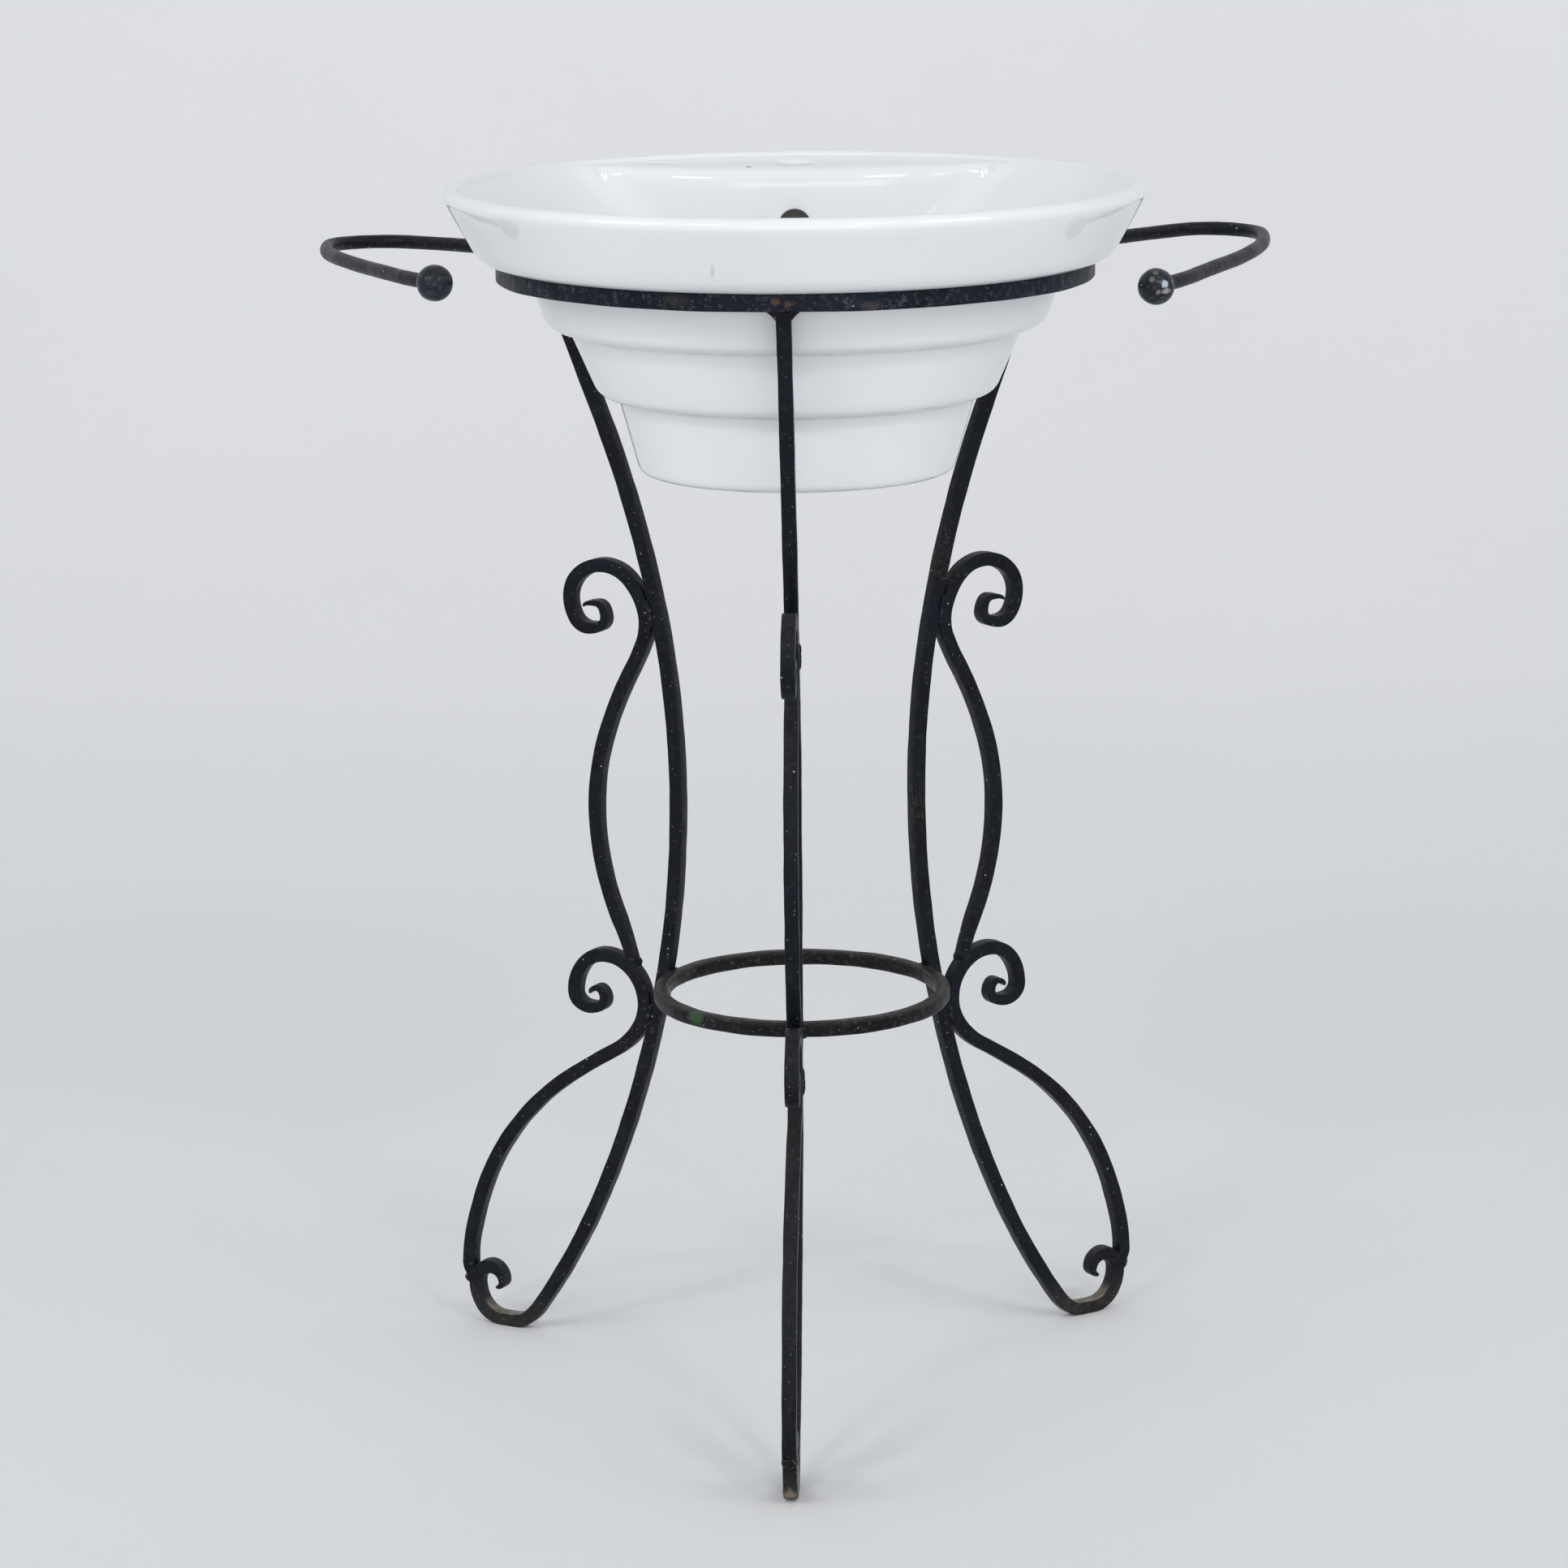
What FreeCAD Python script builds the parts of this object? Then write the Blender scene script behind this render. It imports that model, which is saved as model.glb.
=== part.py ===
"""Wash basin on a forged iron stand: a stepped china basin dropped into a ring on three scrolled legs.

Millimetres, +Z up, front leg towards -Y. The origin is on the floor, under the middle of the outline.
Every size is a named cell of the sheet "Sizes". A bar is drawn through stations on its centre line.
"""
import math
import os

import FreeCAD
import Part
import Sketcher
from FreeCAD import Placement, Rotation, Vector

doc = FreeCAD.newDocument("wash_basin_stand")

# ---------------------------------------------------------------- driving dimensions

DIMENSIONS = [
    # the ring that carries the basin
    ("seat_height", 817, "top of the ring above the floor: the basin rests on it"),
    ("top_ring_radius", 209, "outside of the ring"),
    ("top_ring_bar", 12, "square bar of the ring"),
    ("top_ring_round", 1.5, "rounding of its edges"),
    # china basin, from the rim down; ledges and batters are taken off the radius above them
    ("cone_height", 53, "rim above the seat"),
    ("cone_overhang", 10.5, "outer cone beyond the ring, before its edge is rounded"),
    ("cone_flare", 29.5, "rim beyond the cone's foot, before the lip is rounded"),
    ("lip_width", 14.5, "flat of the lip"),
    ("lip_round", 6, "rounding of the lip outside"),
    ("lip_inner_round", 2.5, "rounding of the lip inside"),
    ("deck_drop", 3.5, "tap deck below the lip"),
    ("seat_ledge", 30.5, "flat underside that rests on the ring"),
    ("tier_one_depth", 46, "depth of the first tier under the seat"),
    ("tier_one_batter", 14, "how far its wall leans in"),
    ("tier_one_round", 15, "rounding of its lower edge"),
    ("tier_two_ledge", 15.5, "step in to the second tier"),
    ("tier_two_depth", 47.5, "depth of the second tier"),
    ("tier_two_batter", 20.5, "how far its wall leans in"),
    ("tier_two_round", 13, "rounding of its lower edge"),
    ("tier_three_ledge", 13, "step in to the third tier"),
    ("tier_three_depth", 55.5, "depth of the third tier"),
    ("tier_three_batter", 16, "how far its wall leans in"),
    ("tier_three_round", 9, "rounding of its lower edge"),
    ("cone_round", 20, "rounding of the cone's lower edge"),
    ("crease_round", 3, "rounding where a tier meets the step above it"),
    ("bowl_wall_run", 145.5, "how far the bowl wall runs in from the lip to the floor"),
    ("bowl_wall_bow", 650, "radius of its curve"),
    ("bowl_floor_thickness", 22, "china under the bowl floor"),
    ("bowl_floor_round", 25, "rounding of the bowl floor"),
    ("deck_depth", 107, "back wall of the bowl in front of the rim's edge"),
    ("back_wall_bow", 343, "radius of its gentle forward bow, in plan"),
    ("back_corner_round", 12, "rounding where the back wall meets the bowl"),
    ("tap_hole", 35, "diameter of the tap hole"),
    ("tap_offset", 45, "tap hole behind the back wall"),
    ("overflow_hole", 23, "diameter of the overflow hole"),
    ("overflow_drop", 45, "overflow hole below the rim"),
    ("overflow_mouth", 15, "depth of the overflow hole"),
    ("overflow_duct", 8, "diameter of the duct from it, inside the wall"),
    ("waste_hole", 45, "diameter of the waste hole"),
    ("waste_seat", 64, "diameter of the seat for the waste's flange"),
    ("waste_seat_depth", 3, "depth of that seat"),
    ("recess_width", 110, "recess under the tap deck, open to the back"),
    ("recess_offset", 23, "front of that recess behind the back wall"),
    ("recess_roof", 16, "roof of that recess below the rim"),
    ("recess_height", 72, "height of that recess"),
    ("recess_round", 15, "rounding of its corners"),
    # ring between the legs; its outside follows from the legs
    ("lower_ring_level", 288, "middle of the ring above the floor"),
    ("lower_ring_bar", 10.5, "bar of the ring"),
    ("lower_ring_round", 3, "rounding of its edges"),
    # forged square bars: radii of their centre lines from the stand's axis, heights above the floor
    ("bar_size", 10, "side of the square bars"),
    ("leg_inset", 5.5, "leg under the ring, in from the ring's outside"),
    ("shoulder_inset", 51, "leg between ring and waist, in from the ring's outside"),
    ("shoulder_drop", 117, "that place below the seat"),
    ("waist_radius", 99, "leg at its narrowest"),
    ("waist_level", 424, "height of that place"),
    ("knee_radius", 141.5, "leg between waist and ankle"),
    ("knee_level", 180, "height of that place"),
    ("ankle_radius", 224, "leg where its foot begins to turn"),
    ("ankle_level", 18, "height of that place"),
    ("foot_radius", 250, "middle of the flat under the foot"),
    ("foot_flat", 11, "length of that flat"),
    ("foot_curl", 27.5, "outermost turn of the foot from the middle of its flat"),
    ("foot_rise", 44.5, "highest turn of the foot above the floor"),
    ("upper_scroll_level", 558, "height where the upper scroll meets the leg"),
    ("upper_curl", 62, "reach of the upper scroll's curl from the leg"),
    ("upper_bow_radius", 166.5, "upper bow at its widest"),
    ("upper_bow_level", 408, "height of that place"),
    ("lower_scroll_level", 255, "height where the lower scroll meets the leg"),
    ("lower_curl", 58, "reach of the lower scroll's curl from the leg"),
    ("lower_bow_radius", 283, "lower bow at its widest"),
    ("lower_bow_level", 45, "height of that place"),
    # towel arms, in plan
    ("arm_rod", 10, "diameter of the round rod"),
    ("arm_ball", 25, "diameter of the ball on its end"),
    ("arm_reach", 341, "arm from the middle plane at its widest"),
    ("arm_widest", 166.5, "that place behind the axis"),
    ("arm_bend", 36.5, "how much further back the arm turns"),
    ("arm_length", 104.5, "end of the rod in front of the axis"),
    ("arm_ball_reach", 246, "ball from the middle plane"),
    ("right_arm_dip", 0.85, "degrees that the right arm falls towards its ball"),
    ("left_arm_dip", -1.05, "degrees that the left arm does, which rises"),
    ("weld_size", 5, "size of a weld bead"),
    ("top_weld", 6.5, "side of the corner welds under the top ring"),
]

sheet = doc.addObject("Spreadsheet::Sheet", "Sizes")


def fill_sheet(rows, first_row):
    for row, (alias, value, meaning) in enumerate(rows, start=first_row):
        sheet.set(f"A{row}", meaning)
        sheet.set(f"B{row}", str(value))
        sheet.setAlias(f"B{row}", alias)
    doc.recompute()


fill_sheet(DIMENSIONS, 1)


def size(alias):
    return float(sheet.get(alias))


def bind(feature, **expressions):
    """Bind properties to sizes; two underscores in a keyword stand for a dot."""
    for name, expression in expressions.items():
        feature.setExpression(name.replace("__", "."), expression)
    return feature


def value_of(expression):
    return float(sheet.evalExpression(expression))


NODES = []


def node(feature, label, turn=0.0):
    """Name a finished piece and turn it about the stand's axis; its place follows at the end."""
    feature.Label = label
    feature.Placement = Placement(Vector(0, 0, 0), Rotation(Vector(0, 0, 1), turn))
    NODES.append(feature)
    return feature


def subtract(name, base, *tools):
    """Cut the tools out of the base."""
    if len(tools) > 1:
        group = doc.addObject("Part::MultiFuse", name + "_tools")
        group.Shapes = list(tools)
        tools = (group,)
    cut = doc.addObject("Part::Cut", name)
    cut.Base = base
    cut.Tool = tools[0]
    return cut


def join(name, *pieces):
    """Keep several solids together as one group."""
    group = doc.addObject("Part::Compound", name)
    group.Links = list(pieces)
    return group


def rounding(name, base, rounds):
    """Round edges: pairs of a radius and a test that picks the edges it is for."""
    doc.recompute()
    fillet = doc.addObject("Part::Fillet", name)
    fillet.Base = base
    picked = []
    for number, edge in enumerate(base.Shape.Edges, start=1):
        for radius, wanted in rounds:
            if wanted(edge):
                picked.append((number, radius, radius))
                break
    if not picked:
        raise RuntimeError(name + ": no edge found to round")
    fillet.Edges = picked
    return fillet


def turned_body(name, corners, rounds=(), bows=None):
    """A body turned about the axis from a sketched outline, with rounded rims.

    corners are pairs of expressions (radius, height); rounds are pairs of corner numbers and a size;
    bows give the radius of a side that is an arc, swelling towards the axis, by its first corner."""
    body = doc.addObject("PartDesign::Body", name)
    sketch = body.newObject("Sketcher::SketchObject", name + "_outline")
    plane = [item for item in body.Origin.OriginFeatures if item.Role == "XZ_Plane"][0]
    sketch.AttachmentSupport = [(plane, "")]
    sketch.MapMode = "FlatFace"
    points = [Vector(value_of(r), value_of(z), 0) for r, z in corners]
    count = len(points)
    bows = bows or {}
    for i in range(count):
        start = points[i]
        end = points[(i + 1) % count]
        if i in bows:
            sketch.addGeometry(bowed_side(start, end, value_of(bows[i])), False)
        else:
            sketch.addGeometry(Part.LineSegment(start, end), False)
    for i in range(count):
        after = (i + 1) % count
        end = 1 if i in bows else 2
        start = 2 if after in bows else 1
        sketch.addConstraint(Sketcher.Constraint("Coincident", i, end, after, start))
    for i, (radius, height) in enumerate(corners):
        end = 2 if i in bows else 1
        if radius == "0":
            sketch.addConstraint(Sketcher.Constraint("PointOnObject", i, end, -2))
        else:
            row = sketch.addConstraint(Sketcher.Constraint("DistanceX", -1, 1, i, end, points[i].x))
            sketch.setExpression(f"Constraints[{row}]", radius)
        row = sketch.addConstraint(Sketcher.Constraint("DistanceY", -1, 1, i, end, points[i].y))
        sketch.setExpression(f"Constraints[{row}]", height)
    for i, radius in bows.items():
        row = sketch.addConstraint(Sketcher.Constraint("Radius", i, value_of(radius)))
        sketch.setExpression(f"Constraints[{row}]", radius)
    turned = body.newObject("PartDesign::Revolution", name + "_turned")
    turned.Profile = sketch
    turned.ReferenceAxis = (sketch, ["V_Axis"])
    turned.Angle = 360
    body.Tip = turned
    last = turned
    for step, (numbers, radius) in enumerate(rounds):
        doc.recompute()
        names = []
        for number, edge in enumerate(last.Shape.Edges, start=1):
            for corner in numbers:
                if rim_at(edge, points[corner].x, points[corner].y):
                    names.append(f"Edge{number}")
        if len(names) != len(numbers):
            raise RuntimeError(f"{name}: rims {numbers} not all found")
        rounded = body.newObject("PartDesign::Fillet", f"{name}_round_{step}")
        rounded.Base = (last, names)
        bind(rounded, Radius=radius)
        body.Tip = rounded
        last = rounded
    return body


def bow_centre(start, end, radius):
    """Centre of the arc from start up to end that swells towards the axis."""
    chord = end - start
    away = Vector(chord.y, -chord.x, 0).normalize()
    return (start + end) * 0.5 + away * math.sqrt(radius**2 - chord.Length**2 / 4)


def bowed_side(start, end, radius):
    centre = bow_centre(start, end, radius)
    first = math.atan2(end.y - centre.y, end.x - centre.x)
    last = math.atan2(start.y - centre.y, start.x - centre.x)
    return Part.ArcOfCircle(Part.Circle(centre, Vector(0, 0, 1), radius), first, last)


def rim_at(edge, radius, height):
    """Whether an edge is the full circle about the axis at that radius and height."""
    curve = edge.Curve
    if not isinstance(curve, Part.Circle) or len(edge.Vertexes) > 1:
        return False
    return abs(curve.Radius - radius) < 0.01 and abs(curve.Center.z - height) < 0.01


# ---------------------------------------------------------------- bars drawn along arcs

def direction(angle):
    return Vector(math.cos(math.radians(angle)), 0, math.sin(math.radians(angle)))


def left_of(angle):
    return direction(angle + 90)


def knots(stations):
    """Tangent arcs through stations (radius, height, direction, thickness), two arcs between neighbours."""
    chain = []
    for (r0, z0, a0, t0), (r1, z1, a1, t1) in zip(stations[:-1], stations[1:]):
        start = Vector(r0, 0, z0)
        end = Vector(r1, 0, z1)
        u = direction(a0)
        w = direction(a1)
        chord = end - start
        along = chord.dot(u + w)
        spread = 1 - u.dot(w)
        if spread < 1e-9:
            reach = chord.dot(chord) / (4 * chord.dot(w))
        else:
            reach = (-along + math.sqrt(along * along + 2 * spread * chord.dot(chord))) / (2 * spread)
        middle = (start + end + (u - w) * reach) * 0.5
        chain.append((start, a0, t0))
        chain.append((middle, angle_after(start, a0, middle), (t0 + t1) / 2))
    chain.append((end, a1, t1))
    return chain


def angle_after(start, angle, end):
    """Direction at the end of the arc that leaves start in that direction."""
    chord = end - start
    heading = math.degrees(math.atan2(chord.z, chord.x))
    turn = (heading - angle + 180) % 360 - 180
    return angle + 2 * turn


def arc_middle(start, angle, end):
    """Point half way along that arc, and the direction there."""
    chord = end - start
    heading = math.degrees(math.atan2(chord.z, chord.x))
    turn = (heading - angle + 180) % 360 - 180
    bulge = chord.Length / 2 * math.tan(math.radians(turn / 2))
    return (start + end) * 0.5 - left_of(heading) * bulge, heading


def arc_edge(start, middle, end):
    sideways = (end - start).cross(middle - start).Length / (end - start).Length
    if sideways < 1e-4:
        return Part.makeLine(start, end)
    return Part.Arc(start, middle, end).toShape()


def outline(stations, level_start=None):
    """Closed outline of a bar along its centre line; level_start cuts its first end off level."""
    chain = knots(stations)
    sides = []
    for side in (1, -1):
        rail = []
        for (start, angle, thick), (end, _, next_thick) in zip(chain[:-1], chain[1:]):
            middle, heading = arc_middle(start, angle, end)
            after = angle_after(start, angle, end)
            first = start + left_of(angle) * (side * thick / 2)
            if level_start is not None and start is chain[0][0]:
                run = direction(angle)
                first = first + run * ((level_start - first.z) / run.z)
                middle = (first + end + left_of(after) * (side * next_thick / 2)) * 0.5 + (
                    middle - (start + end) * 0.5)
            else:
                middle = middle + left_of(heading) * (side * (thick + next_thick) / 4)
            last = end + left_of(after) * (side * next_thick / 2)
            rail.append((first, middle, last))
        sides.append(rail)
    edges = [arc_edge(*piece) for piece in sides[0]]
    edges.append(Part.makeLine(sides[0][-1][2], sides[1][-1][2]))
    edges += [arc_edge(*piece) for piece in sides[1]]
    edges.append(Part.makeLine(sides[0][0][0], sides[1][0][0]))
    return Part.Face(Part.Wire(Part.__sortEdges__(edges)))


def point_at_level(stations, level):
    """Point of a falling centre line at a height, and its direction there."""
    chain = knots(stations)
    for (start, angle, _), (end, _, _) in zip(chain[:-1], chain[1:]):
        if start.z >= level >= end.z:
            middle, _ = arc_middle(start, angle, end)
            edge = arc_edge(start, middle, end)
            low, high = edge.ParameterRange
            for _ in range(50):
                half = (low + high) / 2
                if edge.valueAt(half).z > level:
                    low = half
                else:
                    high = half
            spot = edge.valueAt(low)
            return spot, angle_after(start, angle, spot)
    raise RuntimeError("no point at that level")


bar = size("bar_size")
seat = size("seat_height")
ring_foot = seat - size("top_ring_bar")
ring_edge = size("top_ring_radius")
beyond_all = 2 * seat

# leg: from the ring down through waist and ankle to a foot rolled up and in on itself
foot = size("foot_radius")
flat = size("foot_flat")
curl = size("foot_curl")
rise = size("foot_rise")
leg_top = ring_edge - size("leg_inset")
LEG = [
    (leg_top, ring_foot, -115, bar),
    (ring_edge - size("shoulder_inset"), seat - size("shoulder_drop"), -113, bar),
    (size("waist_radius"), size("waist_level"), -90, bar),
    (size("knee_radius"), size("knee_level"), -70.7, bar),
    (size("ankle_radius"), size("ankle_level"), -54, bar),
    (foot - flat / 2, bar / 2, 0, bar),
    (foot + flat / 2, bar / 2, 0, bar),
    (foot + curl, rise * 0.685, 90, bar * 1.1),
    (foot + curl * 0.54, rise, 180, bar),
    (foot + curl * 0.157, rise * 0.764, 270, bar * 0.6),
    (foot + curl * 0.393, rise * 0.64, 350, bar * 0.22),
]


def beside_leg(level):
    """Centre of a bar lying against the outer side of the leg, and the leg's direction there."""
    spot, angle = point_at_level(LEG, level)
    return spot + left_of(angle) * bar, angle


# A scroll starts with its rolled tip, lies against the leg at its touch, and swings out to a bow.
touch, slope = beside_leg(size("upper_scroll_level"))
low_touch, low_slope = beside_leg(size("lower_scroll_level"))
roll = size("upper_curl")
low_roll = size("lower_curl")

# upper scroll: its bow lands on the curl of the scroll below
swing = size("upper_bow_radius") - touch.x
drop = touch.z - size("upper_bow_level")
UPPER = [
    (touch.x + roll * 0.82, touch.z + roll * 0.026, 121, bar * 0.2),
    (touch.x + roll * 0.65, touch.z + roll * 0.082, 180, bar * 0.45),
    (touch.x + roll * 0.53, touch.z - roll * 0.092, 270, bar * 0.65),
    (touch.x + roll * 0.745, touch.z - roll * 0.221, 360, bar * 0.85),
    (touch.x + roll, touch.z + roll * 0.123, 450, bar * 0.95),
    (touch.x + roll * 0.55, touch.z + roll * 0.535, 540, bar),
    (touch.x, touch.z, slope + 720, bar),
    (touch.x + swing * 0.268, touch.z - drop * 0.277, 659.7, bar),
    (size("upper_bow_radius"), size("upper_bow_level"), 630, bar),
    (low_touch.x + low_roll * 0.344, low_touch.z + low_roll * 1.19, 606.4, bar * 0.9),
    (low_touch.x + low_roll * 0.13, low_touch.z + low_roll * 0.591, 612, bar * 0.6),
]

# lower scroll: the same curl, and a wider bow that lands on the outside of the foot
swing = size("lower_bow_radius") - low_touch.x
drop = low_touch.z - size("lower_bow_level")
LOWER = [
    (low_touch.x + low_roll * 0.772, low_touch.z + low_roll * 0.181, 90, bar * 0.2),
    (low_touch.x + low_roll * 0.668, low_touch.z + low_roll * 0.268, 180, bar * 0.45),
    (low_touch.x + low_roll * 0.563, low_touch.z + low_roll * 0.129, 270, bar * 0.65),
    (low_touch.x + low_roll * 0.78, low_touch.z, 360, bar * 0.85),
    (low_touch.x + low_roll, low_touch.z + low_roll * 0.191, 450, bar * 0.95),
    (low_touch.x + low_roll * 0.546, low_touch.z + low_roll * 0.71, 540, bar),
    (low_touch.x, low_touch.z, low_slope + 720, bar),
    (low_touch.x + swing * 0.1585, low_touch.z - drop * 0.1413, 689.6, bar),
    (low_touch.x + swing * 0.608, low_touch.z - drop * 0.376, 675.1, bar),
    (low_touch.x + swing * 0.932, low_touch.z - drop * 0.754, 648.1, bar),
    (size("lower_bow_radius"), size("lower_bow_level"), 630, bar),
    (foot + curl + bar * 0.2, rise * 0.742, 624, bar * 0.62),
]


def flat_piece(name, stations, level_start=None):
    face = doc.addObject("Part::Feature", name)
    face.Shape = outline(stations, level_start)
    return face


def forged(name, face):
    """The flat outline given the width of the bar."""
    piece = doc.addObject("Part::Extrusion", name)
    piece.Base = face
    piece.DirMode = "Custom"
    piece.Dir = Vector(0, 1, 0)
    piece.Solid = True
    piece.Symmetric = True
    return bind(piece, LengthFwd="Sizes.bar_size")


leg_outline = flat_piece("leg_outline", LEG, ring_foot)
upper_outline = flat_piece("upper_scroll_outline", UPPER)
lower_outline = flat_piece("lower_scroll_outline", LOWER)

# where the smith set the legs round the ring: not quite a third of a turn apart
SIDES = (("front", -92.3), ("right", 31.7), ("left", 152.8))
for side, azimuth in SIDES:
    node(forged("leg_" + side, leg_outline), "leg_" + side, azimuth)
for side, azimuth in SIDES:
    under = forged("lower_bar_" + side, lower_outline)
    landing = forged("foot_of_leg_" + side, leg_outline)
    node(subtract("lower_scroll_" + side, under, landing), "lower_scroll_" + side, azimuth)
for side, azimuth in SIDES:
    over = forged("upper_bar_" + side, upper_outline)
    landing = forged("under_bar_" + side, lower_outline)
    node(subtract("upper_scroll_" + side, over, landing), "upper_scroll_" + side, azimuth)

# ---------------------------------------------------------------- rings

top_ring = turned_body(
    "top_ring",
    [
        ("Sizes.top_ring_radius - Sizes.top_ring_bar", "Sizes.seat_height - Sizes.top_ring_bar"),
        ("Sizes.top_ring_radius", "Sizes.seat_height - Sizes.top_ring_bar"),
        ("Sizes.top_ring_radius", "Sizes.seat_height"),
        ("Sizes.top_ring_radius - Sizes.top_ring_bar", "Sizes.seat_height"),
    ],
    [((0, 1, 2, 3), "Sizes.top_ring_round")],
)
node(top_ring, "top_ring")

# The lower ring is as wide as the legs leave room for: it touches the inner side of each of them.
level = size("lower_ring_level")
half = size("lower_ring_bar") / 2
soft = size("lower_ring_round")
spot, angle = point_at_level(LEG, level + half - soft)
inward = left_of(angle) * -1
inner_side = spot + inward * (bar / 2)
corner = Vector(0, 0, level + half - soft)
distance = -inward.dot(inner_side - corner)
lower_ring_outside = (distance - soft) / -inward.x + soft
FITTED = [
    ("lower_ring_outside", lower_ring_outside, "outside of the lower ring, where it meets the legs"),
]
fill_sheet(FITTED, len(DIMENSIONS) + 2)
INSIDE = "Sizes.lower_ring_outside - Sizes.lower_ring_bar"
BELOW = "Sizes.lower_ring_level - Sizes.lower_ring_bar / 2"
ABOVE = "Sizes.lower_ring_level + Sizes.lower_ring_bar / 2"
lower_ring = turned_body(
    "lower_ring",
    [
        (INSIDE, BELOW),
        ("Sizes.lower_ring_outside", BELOW),
        ("Sizes.lower_ring_outside", ABOVE),
        (INSIDE, ABOVE),
    ],
    [((0, 1, 2, 3), "Sizes.lower_ring_round")],
)
node(lower_ring, "lower_ring")

# ---------------------------------------------------------------- towel arms

arm_level = seat - size("top_ring_bar") / 2
arm_reach = size("arm_reach")
arm_widest = size("arm_widest")
arm_end = -size("arm_length")
beyond_ring = arm_reach - ring_edge
ball_x = size("arm_ball_reach") - size("arm_rod") * 0.2
ball_y = arm_end - size("arm_rod") * 0.4
weld_spot = (ring_edge - size("top_ring_bar") / 4) * direction(30)
ARM = [
    (weld_spot.x, weld_spot.z, 46, 0),
    (arm_reach - beyond_ring * 0.43, arm_widest + size("arm_bend"), 35, 0),
    (arm_reach, arm_widest, -90, 0),
    (arm_reach - beyond_ring * 0.316, arm_widest - (arm_widest - arm_end) * 0.59, -114, 0),
    (size("arm_ball_reach"), arm_end, -125, 0),
]


def arm_place(mirror, x, y):
    """A point of the level arm once the arm has been dipped about its weld on the ring."""
    dip = size("right_arm_dip") if mirror > 0 else size("left_arm_dip")
    weld = Vector(mirror * weld_spot.x, weld_spot.z, arm_level)
    return weld + Rotation(Vector(1, 0, 0), dip).multVec(Vector(x, y, arm_level) - weld)


def path_along(name, stations, mirror):
    """The centre line of an arm's rod."""
    chain = knots(stations)
    edges = []
    for (start, angle, _), (end, _, _) in zip(chain[:-1], chain[1:]):
        middle, _ = arc_middle(start, angle, end)
        edges.append(arc_edge(*[arm_place(mirror, p.x, p.z) for p in (start, middle, end)]))
    path = doc.addObject("Part::Feature", name)
    path.Shape = Part.Wire(edges)
    return path


def rod(name, path, diameter, placement, corners="Transformed"):
    """A round section carried along a path."""
    section = doc.addObject("Part::Circle", name + "_section")
    bind(section, Radius=diameter + " / 2")
    section.Placement = placement
    swept = doc.addObject("Part::Sweep", name)
    swept.Sections = [section]
    swept.Spine = (path, [f"Edge{i + 1}" for i in range(len(path.Shape.Edges))])
    swept.Solid = True
    swept.Frenet = False
    swept.Transition = corners
    return swept


def arm_stations(mirror):
    return [(mirror * x, y, a if mirror > 0 else 180 - a, t) for x, y, a, t in ARM]


def arm_rod(name, mirror):
    """The whole rod of an arm, from inside the ring to the middle of its ball."""
    stations = arm_stations(mirror)
    path = path_along(name + "_path", stations, mirror)
    first = path.Shape.Edges[0]
    way = first.tangentAt(first.FirstParameter)
    start = Placement(first.valueAt(first.FirstParameter), Rotation(Vector(0, 0, 1), way))
    return rod(name, path, "Sizes.arm_rod", start)


def arm_ball(name, mirror):
    ball = bind(doc.addObject("Part::Sphere", name), Radius="Sizes.arm_ball / 2")
    ball.Placement = Placement(arm_place(mirror, mirror * ball_x, ball_y), Rotation())
    return ball


for side, mirror in (("right", 1), ("left", -1)):
    inside = bind(doc.addObject("Part::Cylinder", "ring_face_" + side), Radius="Sizes.top_ring_radius",
                  Height="Sizes.seat_height * 2")
    cut_arm = subtract("towel_arm_" + side, arm_rod("arm_rod_" + side, mirror), inside,
                       arm_ball("ball_end_" + side, mirror))
    node(cut_arm, "towel_arm_" + side)

node(join("arm_balls", arm_ball("ball_right", 1), arm_ball("ball_left", -1)), "arm_balls")

# ---------------------------------------------------------------- china basin

RIM = "Sizes.seat_height + Sizes.cone_height"
DECK = RIM + " - Sizes.deck_drop"
TIER_TWO = "Sizes.seat_height - Sizes.tier_one_depth"
TIER_THREE = TIER_TWO + " - Sizes.tier_two_depth"
FOOT = TIER_THREE + " - Sizes.tier_three_depth"
CONE_FOOT = "Sizes.top_ring_radius + Sizes.cone_overhang"
RIM_EDGE = CONE_FOOT + " + Sizes.cone_flare"
BACK_WALL = RIM_EDGE + " - Sizes.deck_depth"
LIP = RIM_EDGE + " - Sizes.lip_width"
TIER_ONE_TOP = CONE_FOOT + " - Sizes.seat_ledge"
TIER_ONE_FOOT = TIER_ONE_TOP + " - Sizes.tier_one_batter"
TIER_TWO_TOP = TIER_ONE_FOOT + " - Sizes.tier_two_ledge"
TIER_TWO_FOOT = TIER_TWO_TOP + " - Sizes.tier_two_batter"
TIER_THREE_TOP = TIER_TWO_FOOT + " - Sizes.tier_three_ledge"
TIER_THREE_FOOT = TIER_THREE_TOP + " - Sizes.tier_three_batter"

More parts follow.
